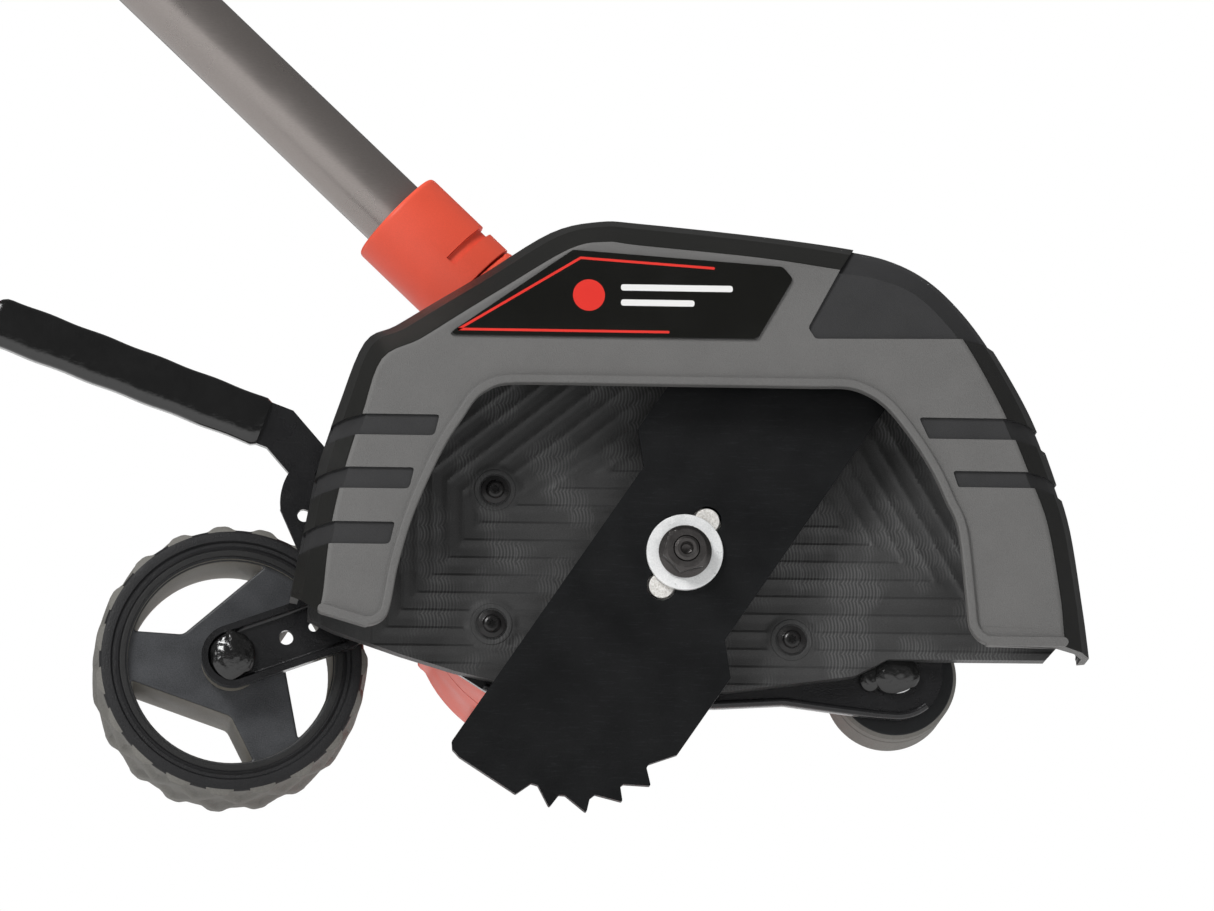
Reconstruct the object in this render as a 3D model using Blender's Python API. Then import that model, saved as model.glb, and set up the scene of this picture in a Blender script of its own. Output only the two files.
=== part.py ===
"""Battery lawn edger: a guarded vertical blade, its gear motor, a depth lever with wheel, and the long handle.

Lengths below are millimetres; MM turns them into metres when a mesh is made. Until the last line of the script
the spindle's axis at the front of the blade is the zero point: X runs forward along the lawn edge, Y runs from
the blade side towards the motor side, and Z is up.
"""

import math

import bmesh
import bpy
from mathutils import Matrix, Vector

for old in list(bpy.data.objects):
    bpy.data.objects.remove(old, do_unlink=True)

MM = 0.001
GAP = 0.3          # clearance between pieces that sit against each other
BORE_GAP = 0.3     # radial clearance of a shaft in its hole
ROUND_SIDES = 10    # sides of the thinnest round piece
SIDES_PER_MM = 0.5  # and how many more each millimetre of radius adds

# Blade and spindle
BLADE_T = 3.0
BLADE_HALF_W = 25.9
BLADE_REACH = 92.8         # axis to the outermost tooth along the blade
BLADE_ANGLE = 55.4         # of the blade's long axis above +X at rest
LUG_OFFSET = 12.5
LUG_R = 4.0
WASHER_R = 12.0
WASHER_T = 2.0
THREAD_R = 3.9
SHAFT_R = 5.0
NUT_FLAT = 13.0
NUT_H = 6.5
FLANGE_R = 16.0
FLANGE_T = 5.0
THREAD_REACH = 10.0        # how far the threaded end stands in front of the blade

# Guard, back plate and chassis plate (Y of their faces)
GUARD_FRONT = -14.0
GUARD_LIP = 1.5
GUARD_SHOULDER = -3.0
GUARD_BEND = 8.0
GUARD_REAR = 20.0
GUARD_WALL = 2.5
LIP_W = 2.8
PLATE_FRONT = 14.0
PLATE_T = 3.0
CHASSIS_FRONT = 21.0
CHASSIS_T = 2.5
CHASSIS_REAR = CHASSIS_FRONT + CHASSIS_T
SCREW_R = 2.0
SCREW_HEAD_R = 4.4
SCREW_SPOTS = ((-58.3, 21.7), (-59.3, -20.9), (34.8, -24.7), (35.0, 22.0))

# Motor and gears
MODULE = 1.0
PINION_TEETH = 12
GEAR_TEETH = 54
GEAR_CENTRES = MODULE * (PINION_TEETH + GEAR_TEETH) / 2
MOTOR = (-GEAR_CENTRES, 0.0)
GEAR_FRONT = 38.0
GEAR_W = 8.0
BARREL_R = 45.0
BARREL_FRONT = 36.0
BARREL_REAR = 128.0
LOBE_R = 33.0
HOUSING_WALL = 3.0
ROTOR_R = 17.0
STATOR_R = 30.0
AIR_GAP = 0.8
FLANK_PARTS = 1            # straight pieces in each side of a gear tooth
HOUSING_SCREWS = ((-58.0, 56.0), (-21.0, 56.0))
BEARING_W = 8.0
BEARING_R = 11.0
FRONT_BEARING = CHASSIS_REAR + 4.3
REAR_BEARING = GEAR_FRONT + GEAR_W + 5.5
SPINDLE_REAR = REAR_BEARING + BEARING_W + 1.0
BULKHEAD_FRONT = REAR_BEARING
BULKHEAD_REAR = BULKHEAD_FRONT + BEARING_W
MOTOR_SHAFT_R = 3.5
MOTOR_BEARING_R = 8.0
MOTOR_BEARING_W = 6.0
STACK_FRONT = BULKHEAD_REAR + 6.0
STACK_REAR = STACK_FRONT + 40.0
FAN_FRONT = STACK_REAR + 4.0
FAN_W = 7.0
END_BEARING = BARREL_REAR - HOUSING_WALL - MOTOR_BEARING_W - 1.0

# Handle tube: its axis lies in the plane Y = TUBE_Y and rises to the left
TUBE_Y = 75.0
TUBE_R = 11.5
TUBE_WALL = 1.5
TUBE_RISE = 43.8
COLLAR_END = (-86.5, 121.9)
COLLAR_R = 16.75
COLLAR_L = 34.0
COLLAR_SLIT_AT = 24.7
COLLAR_SLIT_W = 3.5
COLLAR_SLIT_D = 2.5
TUBE_SEAT = 64.0           # depth of the tube below the collar's upper end
LOWER_TUBE_L = 520.0       # above the collar
UPPER_TUBE_START = 370.0
UPPER_TUBE_L = 450.0
UPPER_TUBE_WALL = 1.7
UPPER_TUBE_R = TUBE_R + BORE_GAP + UPPER_TUBE_WALL
SLEEVE_R = 20.0
SLEEVE_L = 62.0

# Depth lever, wheel and roller
PIVOT = (-76.0, 4.0)
PIVOT_BOLT_R = 4.0
PIVOT_TUBE_R = 7.0
EYE_WALL = 5.0             # of the lever round the pivot tube
LEVER_W = 14.0
LEVER_FRONT = CHASSIS_REAR + 1.0
LEVER_T = 3.0
LEVER_GRIP_L = 92.0
ARM_REAR = 32.5
ARM_T = 2.5
ARM_FLANGE = 4.7
ARM_W = 17.5
WHEEL_AXIS = (-139.5, -29.5)
WHEEL_R = 43.0
WHEEL_FRONT = 37.0
WHEEL_W = 38.0
RIM_R = 34.5
RIM_WALL = 2.0
HUB_R = 12.0
SPOKE_TURN = 60.0
AXLE_R = 5.0
ROLLER_AXIS = (68.6, -33.9)
ROLLER_R = 19.75
ROLLER_FRONT = 27.0
ROLLER_W = 26.5
DETENT_R = 2.0
DETENT_HOLES = ((-112.3, 27.1), (-117.8, 14.0))

# Rear handle, in its own (a, b) axes: a up the tube, b square to it
HANDLE_HALF_W = 18.0
HANDLE_WALL = 2.6
HANDLE_TUBE_OVERLAP = 55.0
AUX_AT = 560.0             # up the tube from the collar
AUX_HALF_W = 64.0
AUX_REACH = 96.0
AUX_BAR_R = 9.0
AUX_GRIP_R = 13.5
AUX_PIVOT_SIDE = 26.0
AUX_CLAMP_HALF = 20.0
AUX_EAR = 10.0
AUX_EAR_REACH = 14.0
AUX_EAR_GAP = 1.0
AUX_BOLT_R = 4.0
KNOB_R = 11.5


# ---------------------------------------------------------------- helpers

MATERIALS = {}


def material(name, colour, roughness, metallic=0.0):
    if name not in MATERIALS:
        made = bpy.data.materials.new(name)
        made.use_nodes = True
        shader = made.node_tree.nodes["Principled BSDF"]
        shader.inputs["Base Color"].default_value = (*colour, 1.0)
        shader.inputs["Roughness"].default_value = roughness
        shader.inputs["Metallic"].default_value = metallic
        MATERIALS[name] = made
    return MATERIALS[name]


def guard_grey():
    return material("guard_plastic", (0.14, 0.14, 0.14), 0.6)


def black_plastic():
    return material("black_plastic", (0.03, 0.03, 0.03), 0.45)


def red_plastic():
    return material("red_plastic", (0.6, 0.04, 0.02), 0.4)


def black_steel():
    return material("black_steel", (0.02, 0.02, 0.025), 0.4, 0.6)


def zinc():
    return material("zinc_steel", (0.6, 0.62, 0.63), 0.3, 1.0)


def rubber():
    return material("rubber", (0.05, 0.05, 0.05), 0.8)


def aluminium():
    return material("aluminium", (0.4, 0.38, 0.37), 0.35, 1.0)


def finish_mesh(mesh, sharp_deg=35.0):
    mesh.shade_smooth()
    mesh.set_sharp_from_angle(angle=math.radians(sharp_deg))


def from_bmesh(name, bm, mat, origin=(0.0, 0.0, 0.0)):
    """An object whose origin is at origin; bm holds points in millimetres."""
    bmesh.ops.translate(bm, verts=bm.verts, vec=-Vector(origin))
    bmesh.ops.scale(bm, verts=bm.verts, vec=(MM, MM, MM))
    bmesh.ops.recalc_face_normals(bm, faces=bm.faces)
    mesh = bpy.data.meshes.new(name)
    bm.to_mesh(mesh)
    bm.free()
    finish_mesh(mesh)
    mesh.materials.append(mat)
    obj = bpy.data.objects.new(name, mesh)
    obj.location = Vector(origin) * MM
    bpy.context.scene.collection.objects.link(obj)
    return obj


def sides(radius):
    return int(ROUND_SIDES + SIDES_PER_MM * radius)


def circle(cx, cz, r, count=0, start=0.0, turn=2 * math.pi):
    """Points of a round outline, or of an arc with both its ends when turn is less than a full one."""
    count = count or sides(r)
    full = abs(abs(turn) - 2 * math.pi) < 1e-9
    steps = count if full else count - 1
    return [(cx + r * math.cos(start + turn * i / steps), cz + r * math.sin(start + turn * i / steps))
            for i in range(count)]


def prism_mesh(outline, y0, y1, holes=()):
    """An outline in the XZ plane, with its holes, as a plate from y0 to y1."""
    bm = bmesh.new()
    edges = []
    for loop in (outline, *holes):
        verts = [bm.verts.new((x, y0, z)) for x, z in loop]
        edges += [bm.edges.new((verts[i - 1], verts[i])) for i in range(len(verts))]
    bmesh.ops.triangle_fill(bm, use_beauty=True, use_dissolve=False, edges=edges)
    grown = bmesh.ops.extrude_face_region(bm, geom=list(bm.faces))
    moved = [item for item in grown["geom"] if isinstance(item, bmesh.types.BMVert)]
    bmesh.ops.translate(bm, verts=moved, vec=(0.0, y1 - y0, 0.0))
    return bm


def prism(name, outline, y0, y1, mat, holes=(), origin=(0.0, 0.0, 0.0)):
    return from_bmesh(name, prism_mesh(outline, y0, y1, holes), mat, origin)


def soft_prism(name, outline, y0, y1, radius, mat, holes=(), steps=1):
    """A plate whose edges at the y1 face are rounded, round the outline and round each hole."""
    side = 1.0 if y1 > y0 else -1.0
    levels = [(y0, 0.0)]
    for k in range(steps + 1):
        turn = math.pi / 2 * k / steps
        levels.append((y1 - side * radius * (1 - math.sin(turn)), radius * (1 - math.cos(turn))))
    bm = bmesh.new()
    ends = ([], [])
    for sign, loop in [(-1.0, outline)] + [(1.0, hole) for hole in holes]:
        rows = []
        for y, inset in levels:
            line = offset(loop, sign * inset) if inset else loop
            rows.append([bm.verts.new((x, y, z)) for x, z in line])
        for low, high in zip(rows, rows[1:]):
            for i in range(len(low)):
                bm.faces.new((low[i - 1], low[i], high[i], high[i - 1]))
        for end, row in zip(ends, (rows[0], rows[-1])):
            end += [bm.edges.get((row[i - 1], row[i])) for i in range(len(row))]
    for end in ends:
        bmesh.ops.triangle_fill(bm, use_beauty=True, use_dissolve=False, edges=end)
    return from_bmesh(name, bm, mat)


def basis(axis):
    """A rotation that takes +Z to axis."""
    return Vector(axis).normalized().to_track_quat("Z", "Y").to_matrix().to_4x4()


def turned_mesh(profile, base, axis, ring=False):
    """A profile of (distance along axis, radius) turned about it; ring closes the profile on itself."""
    bm = bmesh.new()
    count = sides(max(radius for _, radius in profile))
    place = Matrix.Translation(Vector(base)) @ basis(axis) @ Matrix.Rotation(math.pi / count * 0.7, 4, "Z")
    rows = []
    for along, radius in profile:
        if radius <= 0.0:
            rows.append([bm.verts.new(place @ Vector((0.0, 0.0, along)))])
            continue
        rows.append([bm.verts.new(place @ Vector((x, y, along))) for x, y in circle(0, 0, radius, count)])
    pairs = list(zip(rows, rows[1:]))
    if ring:
        pairs.append((rows[-1], rows[0]))
    for low, high in pairs:
        for i in range(count):
            corners = (low[i % len(low)], low[(i + 1) % len(low)],
                       high[(i + 1) % len(high)], high[i % len(high)])
            unique = list(dict.fromkeys(corners))
            if len(unique) > 2:
                bm.faces.new(unique)
    return bm


def turned(name, profile, base, axis, mat, ring=False, origin=None):
    bm = turned_mesh(profile, base, axis, ring)
    return from_bmesh(name, bm, mat, base if origin is None else origin)


def along_y(name, profile, centre, mat, ring=False, origin=None):
    """A turned piece on an axis parallel to Y through centre (x, z)."""
    return turned(name, profile, (centre[0], 0.0, centre[1]), (0, 1, 0), mat, ring, origin)


def tube_profile(y0, y1, outer, inner, chamfer=0.0):
    """The closed section of a plain ring, its outer edges chamfered."""
    c = chamfer
    section = [(y0, inner), (y0, outer - c), (y0 + c, outer), (y1 - c, outer), (y1, outer - c), (y1, inner)]
    return section if c else [(y0, inner), (y0, outer), (y1, outer), (y1, inner)]


def rod_profile(y0, y1, r, chamfer=0.5):
    return [(y0, 0.0), (y0, r - chamfer), (y0 + chamfer, r), (y1 - chamfer, r), (y1, r - chamfer), (y1, 0.0)]


def boolean(target, cutter, operation):
    """Joins or cuts with a helper that itself stays out of the model."""
    cutter.hide_render = True
    cutter.display_type = "WIRE"
    step = target.modifiers.new(operation.lower(), "BOOLEAN")
    step.operation = operation
    step.object = cutter
    step.solver = "EXACT"


def weld(obj):
    """Closes the hairline edges that a row of Booleans can leave."""
    step = obj.modifiers.new("weld", "WELD")
    step.merge_threshold = 0.00003


def cut(target, cutter):
    boolean(target, cutter, "DIFFERENCE")


def join(target, piece):
    boolean(target, piece, "UNION")


def bevel(obj, width, segments=1, angle=40.0):
    step = obj.modifiers.new("bevel", "BEVEL")
    step.width = width * MM
    step.segments = segments
    step.limit_method = "ANGLE"
    step.angle_limit = math.radians(angle)


def smooth_line(points, parts=2):
    """Catmull-Rom points through an open list of equal-length tuples, parts to each span."""
    out = []
    last = len(points) - 1
    for i in range(last):
        p0, p1, p2, p3 = (points[max(0, min(last, i + k))] for k in (-1, 0, 1, 2))
        for step in range(parts):
            t = step / parts
            out.append(tuple(
                0.5 * (2 * b + (c - a) * t + (2 * a - 5 * b + 4 * c - d) * t * t + (3 * b - a - 3 * c + d) * t ** 3)
                for a, b, c, d in zip(p0, p1, p2, p3)))
    out.append(points[-1])
    return out


def rounded(corners, steps=5):
    """A closed outline from (x, z, radius) corners, each replaced by an arc that touches both its sides."""
    out = []
    count = len(corners)
    for i, (x, z, r) in enumerate(corners):
        here = Vector((x, z))
        before = Vector(corners[i - 1][:2]) - here
        after = Vector(corners[(i + 1) % count][:2]) - here
        half = before.angle(after) / 2
        if r <= 0.0 or half > math.radians(89.5):
            out.append((x, z))
            continue
        reach = min(r / math.tan(half), 0.48 * before.length, 0.48 * after.length)
        start = here + before.normalized() * reach
        end = here + after.normalized() * reach
        for k in range(steps + 1):
            t = k / steps
            point = start * (1 - t) ** 2 + here * 2 * t * (1 - t) + end * t * t
            out.append((point.x, point.y))
    return out


def offset(outline, distance):
    """A closed outline moved outwards by distance along its mitred corners."""
    area = sum(a[0] * b[1] - b[0] * a[1] for a, b in zip(outline, outline[1:] + outline[:1]))
    side = 1.0 if area > 0 else -1.0
    out = []
    for i, (x, z) in enumerate(outline):
        before = (Vector((x, z)) - Vector(outline[i - 1])).normalized()
        after = (Vector(outline[(i + 1) % len(outline)]) - Vector((x, z))).normalized()
        normal = Vector((before.y + after.y, -before.x - after.x)).normalized()
        mitre = max(0.35, normal.dot(Vector((after.y, -after.x))))
        moved = Vector((x, z)) + normal * (side * distance / mitre)
        out.append((moved.x, moved.y))
    return out


def stroke(line, width, cap=7):
    """The outline of a bar of even width along a bent centre line, with round ends."""
    r = width / 2
    points = [Vector(p) for p in line]
    left, right = [], []
    for i in range(1, len(points) - 1):
        before = (points[i] - points[i - 1]).normalized()
        after = (points[i + 1] - points[i]).normalized()
        normal = Vector((-before.y - after.y, before.x + after.x)).normalized()
        reach = r / normal.dot(Vector((-after.y, after.x)))
        left.append(tuple(points[i] + normal * reach))
        right.append(tuple(points[i] - normal * reach))
    ends = []
    for end, inner in ((points[0], points[1]), (points[-1], points[-2])):
        away = (end - inner).normalized()
        ends.append(circle(end.x, end.y, r, cap, math.atan2(away.y, away.x) - math.pi / 2, math.pi))
    return ends[0] + right + ends[1] + left[::-1]


def hull_outline(c0, r0, c1, r1):
    """The outline of two discs wrapped by a belt; disc 1 is the larger or equal one."""
    line = Vector(c1) - Vector(c0)
    heading = math.atan2(line.y, line.x)
    lean = math.acos((r0 - r1) / line.length)
    near = circle(*c0, r0, sides(r0) // 2 + 3, heading + lean, 2 * (math.pi - lean))
    far = circle(*c1, r1, sides(r1) // 2 + 3, heading - lean, 2 * lean)
    return near + far


# ---------------------------------------------------------------- blade and spindle

def blade_point(u, v):
    """From the blade's own axes, u along it and v across it, to XZ."""
    a = math.radians(BLADE_ANGLE)
    return (-u * math.cos(a) + v * math.sin(a), -u * math.sin(a) - v * math.cos(a))


def blade_half():
    """One end of the blade, from its waist on one side to its waist on the other: (u, v) at full reach 1 and
    half width 1, with the saw teeth on the corner that leads."""
    return ((0.165, 1.0), (0.26, 1.32), (0.578, 1.32), (0.66, 1.105), (0.674, 1.11), (0.716, 1.275),
            (0.764, 0.995), (0.777, 0.98), (0.815, 1.108), (0.848, 0.787), (0.870, 0.763), (0.915, 0.827),
            (0.908, 0.50), (0.919, 0.435), (0.972, 0.426), (0.933, 0.164), (0.94, 0.085), (1.0, 0.005),
            (1.006, -0.80), (0.998, -0.92), (0.975, -0.985))


def make_blade():
    half = [(u * BLADE_REACH, v * BLADE_HALF_W) for u, v in blade_half()]
    both = half + [(-u, -v) for u, v in half]
    outline = [blade_point(u, v) for u, v in both]
    holes = [circle(0, 0, THREAD_R + BORE_GAP)]
    for side in (1, -1):
        holes.append(circle(*blade_point(side * LUG_OFFSET, 0), LUG_R + 0.6))
    prism("blade", outline, 0.0, BLADE_T, black_steel(), holes)


def make_hex_nut(name, y0, y1, flat, bore, centre, mat, flange_r=0.0, flange_t=0.0):
    """A hexagon nut on an axis along Y; its flange, where it has one, is on the y1 side."""
    corners = circle(*centre, flat / math.sqrt(3), 6, math.radians(15))
    nut = prism(name, corners, y0, y1 - flange_t, mat, [circle(*centre, bore)],
                origin=(centre[0], y1, centre[1]))
    if flange_r:
        skirt = [(y1 - flange_t - 0.4, bore), (y1 - flange_t - 0.4, flat * 0.5), (y1 - 1.2, flange_r - 0.6),
                 (y1 - 0.6, flange_r), (y1, flange_r), (y1, bore)]
        join(nut, along_y(name + "_flange", skirt, centre, mat, ring=True))
    return nut


def make_drive_stack():
    along_y("blade_washer", tube_profile(-WASHER_T - GAP, -GAP, WASHER_R, THREAD_R + BORE_GAP, 0.3), (0, 0),
            zinc(), ring=True)
    nut_rear = -WASHER_T - 2 * GAP
    make_hex_nut("blade_nut", nut_rear - NUT_H, nut_rear, NUT_FLAT, THREAD_R + BORE_GAP, (0, 0),
                 black_steel(), flange_r=8.3, flange_t=2.0)
    flange_front = BLADE_T + GAP
    flange = along_y("drive_flange", tube_profile(flange_front, flange_front + FLANGE_T, FLANGE_R,
                                                  THREAD_R + BORE_GAP, 0.6), (0, 0), zinc(), ring=True)
    for side in (1, -1):
        lug = along_y("lug_tool", rod_profile(GAP, flange_front + 1.0, LUG_R, 0.4),
                      blade_point(side * LUG_OFFSET, 0), zinc())
        join(flange, lug)
    shoulder = flange_front + FLANGE_T + GAP
    spindle = [(-THREAD_REACH, 0.0), (-THREAD_REACH, THREAD_R - 0.7), (-THREAD_REACH + 0.7, THREAD_R),
               (shoulder, THREAD_R), (shoulder, SHAFT_R + 1.5), (CHASSIS_REAR + 0.8, SHAFT_R + 1.5),
               (CHASSIS_REAR + 0.8, SHAFT_R), (SPINDLE_REAR, SHAFT_R), (SPINDLE_REAR, 0.0)]
    shaft = along_y("spindle", spindle, (0, 0), zinc())
    centre_hole = along_y("centre_hole_tool", rod_profile(-THREAD_REACH - 1, -THREAD_REACH + 4, 1.6, 0.2), (0, 0),
                          zinc())
    cut(shaft, centre_hole)


# ---------------------------------------------------------------- gears and motor

def involute_outline(teeth, centre, phase, addendum, thinning):
    """A spur gear's outline: involute flanks from the root to the tip, phase is the angle of tooth 0."""
    pitch = MODULE * teeth / 2
    pressure = math.radians(20)
    base = pitch * math.cos(pressure)
    tip = pitch + addendum * MODULE
    root = pitch - 1.25 * MODULE
    half_at_pitch = math.pi / (2 * teeth) - thinning / pitch
    spread = math.tan(pressure) - pressure

    def half_angle(radius):
        if radius <= base:
            return half_at_pitch + spread
        bend = math.acos(base / radius)
        return half_at_pitch + spread - (math.tan(bend) - bend)

    start = max(base, root + 0.1 * MODULE)
    radii = [root] + [start + (tip - start) * k / FLANK_PARTS for k in range(FLANK_PARTS + 1)]
    out = []
    for tooth in range(teeth):
        mid = phase + 2 * math.pi * tooth / teeth
        for sign, run in ((-1, radii), (1, radii[::-1])):
            for radius in run:
                angle = mid + sign * half_angle(radius)
                out.append((centre[0] + radius * math.cos(angle), centre[1] + radius * math.sin(angle)))
    return out


def make_bearing(name, y0, width, outer, shaft, centre):
    along_y(name, tube_profile(y0, y0 + width, outer, shaft + BORE_GAP, 0.5), centre, zinc(), ring=True)


def make_gear_motor():
    gear_steel = material("gear_steel", (0.35, 0.34, 0.33), 0.35, 1.0)
    wheel = involute_outline(GEAR_TEETH, (0, 0), math.pi + math.pi / GEAR_TEETH, 0.8, 0.06)
    prism("drive_gear", wheel, GEAR_FRONT, GEAR_FRONT + GEAR_W, gear_steel,
          [circle(0, 0, SHAFT_R + BORE_GAP)])
    shaft = along_y("motor_shaft", rod_profile(GEAR_FRONT - 1.0, END_BEARING + MOTOR_BEARING_W, MOTOR_SHAFT_R),
                    MOTOR, gear_steel)
    pinion = involute_outline(PINION_TEETH, MOTOR, 0.0, 0.8, 0.06)
    join(shaft, prism("pinion_tool", pinion, GEAR_FRONT - 0.5, GEAR_FRONT + GEAR_W + 0.5, gear_steel))
    make_bearing("spindle_bearing_front", FRONT_BEARING, BEARING_W, BEARING_R, SHAFT_R, (0, 0))
    make_bearing("spindle_bearing_rear", REAR_BEARING, BEARING_W, BEARING_R, SHAFT_R, (0, 0))
    make_bearing("motor_bearing_front", BULKHEAD_FRONT, MOTOR_BEARING_W, MOTOR_BEARING_R, MOTOR_SHAFT_R, MOTOR)
    make_bearing("motor_bearing_rear", END_BEARING, MOTOR_BEARING_W, MOTOR_BEARING_R, MOTOR_SHAFT_R, MOTOR)
    lamination = material("lamination_steel", (0.25, 0.25, 0.26), 0.45, 1.0)
    along_y("motor_rotor", tube_profile(STACK_FRONT, STACK_REAR, ROTOR_R, MOTOR_SHAFT_R + BORE_GAP, 0.8), MOTOR,
            lamination, ring=True)
    stator = along_y("motor_stator", tube_profile(STACK_FRONT - 1.0, STACK_REAR + 1.0, STATOR_R,
                                                  ROTOR_R + AIR_GAP, 1.0), MOTOR,
                     material("copper_winding", (0.5, 0.2, 0.08), 0.4, 1.0), ring=True)
    stator.data.materials[0] = lamination
    make_fan()
    make_bulkhead()


def make_fan():
    """A back disc with a hub and blades that stand on it."""
    disc_r = STATOR_R - 1.0
    y0 = FAN_FRONT
    disc = [(y0, MOTOR_SHAFT_R + BORE_GAP), (y0, disc_r), (y0 + 1.5, disc_r), (y0 + 1.5, MOTOR_SHAFT_R + 3.5),
            (y0 + FAN_W, MOTOR_SHAFT_R + 3.5), (y0 + FAN_W, MOTOR_SHAFT_R + BORE_GAP)]
    fan = along_y("cooling_fan", disc, MOTOR, black_plastic(), ring=True)
    for k in range(7):
        angle = 2 * math.pi * k / 7
        line = []
        for step in range(3):
            r = MOTOR_SHAFT_R + 5.0 + (disc_r - MOTOR_SHAFT_R - 6.0) * step / 2
            lean = angle + 0.22 * step
            line.append((MOTOR[0] + r * math.cos(lean), MOTOR[1] + r * math.sin(lean)))
        join(fan, prism(f"fan_blade_tool_{k}", stroke(line, 1.4, 4), y0 + 0.5, y0 + FAN_W, black_plastic()))


def make_bulkhead():
    """The cast wall between gearbox and motor that holds a bearing of each."""
    room = BARREL_R - HOUSING_WALL - GAP
    holes = [circle(*MOTOR, MOTOR_BEARING_R + GAP), circle(0, 0, BEARING_R + GAP)]
    outline = hull_outline(MOTOR, room, (0.0, 0.0), LOBE_R - HOUSING_WALL - GAP)
    prism("gearbox_bulkhead", outline, BULKHEAD_FRONT, BULKHEAD_REAR,
          material("cast_aluminium", (0.45, 0.45, 0.46), 0.5, 1.0), holes)


# ---------------------------------------------------------------- tube axis

RISE = math.radians(TUBE_RISE)
UP = Vector((-math.cos(RISE), 0.0, math.sin(RISE)))
ACROSS = Vector((math.sin(RISE), 0.0, math.cos(RISE)))
COLLAR_TOP = Vector((COLLAR_END[0], TUBE_Y, COLLAR_END[1]))


def on_tube(distance, side=0.0):
    """The point this far up the tube's axis from the collar's upper end, side square to it."""
    return COLLAR_TOP + UP * distance + ACROSS * side


def on_tube_xz(distance, side=0.0):
    point = on_tube(distance, side)
    return (point.x, point.z)


AUX_PIVOT = on_tube(AUX_AT, AUX_PIVOT_SIDE)


# ---------------------------------------------------------------- motor housing

def housing_solid(name, grow, tube_r, tube_from, front, lobe_front, rear):
    """The housing's outer form (grow 0) or, shrunk by its wall, the room inside it."""
    r = BARREL_R + grow
    edge = 6.0 if grow == 0 else 3.0
    barrel = [(front, 0.0), (front, r), (rear - edge, r), (rear - edge * 0.3, r - edge * 0.3), (rear, r - edge),
              (rear, 0.0)]
    body = along_y(name, barrel, MOTOR, red_plastic())
    lobe = hull_outline(MOTOR, 24.0 + grow, (0.0, 0.0), LOBE_R + grow)
    join(body, prism(name + "_lobe_tool", lobe, lobe_front, BULKHEAD_REAR + 4.0 + grow, red_plastic()))
    deep = hull_outline(MOTOR, r - 0.05, (0.0, 0.0), LOBE_R + grow)
    join(body, prism(name + "_throat_tool", deep, front + 0.05, BULKHEAD_REAR + 4.0 + grow - 0.05, red_plastic()))
    neck = rod_profile(0.0, TUBE_SEAT + 22.0 - tube_from, tube_r, 0.4)
    join(body, turned(name + "_neck_tool", neck, on_tube(-tube_from), -UP, red_plastic()))
    return body


def make_housing():
    """Two shells that meet in the plane of the tube's axis."""
    shell = housing_solid("motor_housing_front", 0.0, COLLAR_R, COLLAR_L + GAP, BARREL_FRONT,
                          CHASSIS_REAR + GAP, BARREL_REAR)
    fairing = prism("fairing_tool", hull_outline(MOTOR, BARREL_R - 0.1, on_tube_xz(-TUBE_SEAT - 4), COLLAR_R),
                    TUBE_Y - COLLAR_R + 1, TUBE_Y + COLLAR_R - 1, red_plastic())
    join(shell, fairing)
    room = housing_solid("housing_room_tool", -HOUSING_WALL, TUBE_R + GAP, COLLAR_L - 2.0,
                         BARREL_FRONT + HOUSING_WALL, CHASSIS_REAR + GAP + HOUSING_WALL, BARREL_REAR - HOUSING_WALL)
    join(room, along_y("spindle_hole_tool", rod_profile(CHASSIS_FRONT, CHASSIS_REAR + 12.0, SHAFT_R + 2.2), (0, 0),
                       red_plastic()))
    wire_exit = on_tube(-TUBE_SEAT - 8.0)
    join(room, turned("wire_way_tool", rod_profile(0.0, 40.0, 5.0), wire_exit,
                      Vector((MOTOR[0], TUBE_Y, MOTOR[1])) - wire_exit, red_plastic()))
    for number, spot in enumerate(HOUSING_SCREWS):
        join(room, along_y(f"housing_screw_way_{number}",
                           rod_profile(TUBE_Y - 10.0, TUBE_Y + 40.0, SCREW_R + BORE_GAP), spot, red_plastic()))
    cut(shell, room)
    weld(shell)
    rear = shell.copy()
    rear.name = "motor_housing_rear"
    bpy.context.scene.collection.objects.link(rear)
    far = 400.0
    outline = [(-far, -far), (far, -far), (far, far), (-far, far)]
    cut(shell, prism("rear_space_tool", outline, TUBE_Y - GAP / 2, far, red_plastic()))
    slots = []
    for row in range(-3, 4):
        z = MOTOR[1] + row * 9.0
        reach = math.sqrt((BARREL_R - 12.0) ** 2 - (row * 9.0) ** 2)
        slots.append(rounded([(MOTOR[0] - reach, z - 1.8, 1.7), (MOTOR[0] + reach, z - 1.8, 1.7),
                              (MOTOR[0] + reach, z + 1.8, 1.7), (MOTOR[0] - reach, z + 1.8, 1.7)], 1))
    rear_space = prism("front_space_tool", outline, -far, TUBE_Y + GAP / 2, red_plastic())
    join(rear_space, prism("vent_tool", slots[0], BARREL_REAR - HOUSING_WALL - 1.0, BARREL_REAR + 1.0,
                           red_plastic(), slots[1:]))
    cut(rear, rear_space)
    for number, spot in enumerate(HOUSING_SCREWS):
        head = TUBE_Y + COLLAR_R - 1 + GAP
        make_screw(f"housing_screw_{number + 1}", head, TUBE_Y - 9.0, spot)


def make_screw(name, seat, tip, spot, head_side=1.0):
    """A round-headed screw along Y: head on the side head_side of seat, shank to tip."""
    head = 2.2 * head_side
    profile = [(seat + head, 0.0), (seat + head, SCREW_HEAD_R - 1.2), (seat + head * 0.55, SCREW_HEAD_R - 0.2),
               (seat, SCREW_HEAD_R), (seat, SCREW_R), (tip, SCREW_R), (tip, 0.0)]
    screw = along_y(name, profile, spot, zinc() if head_side > 0 else black_steel())
    drive = prism(name + "_drive_tool", circle(*spot, 1.5, 6), seat + head * 0.45, seat + head * 1.3, zinc())
    cut(screw, drive)


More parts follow.
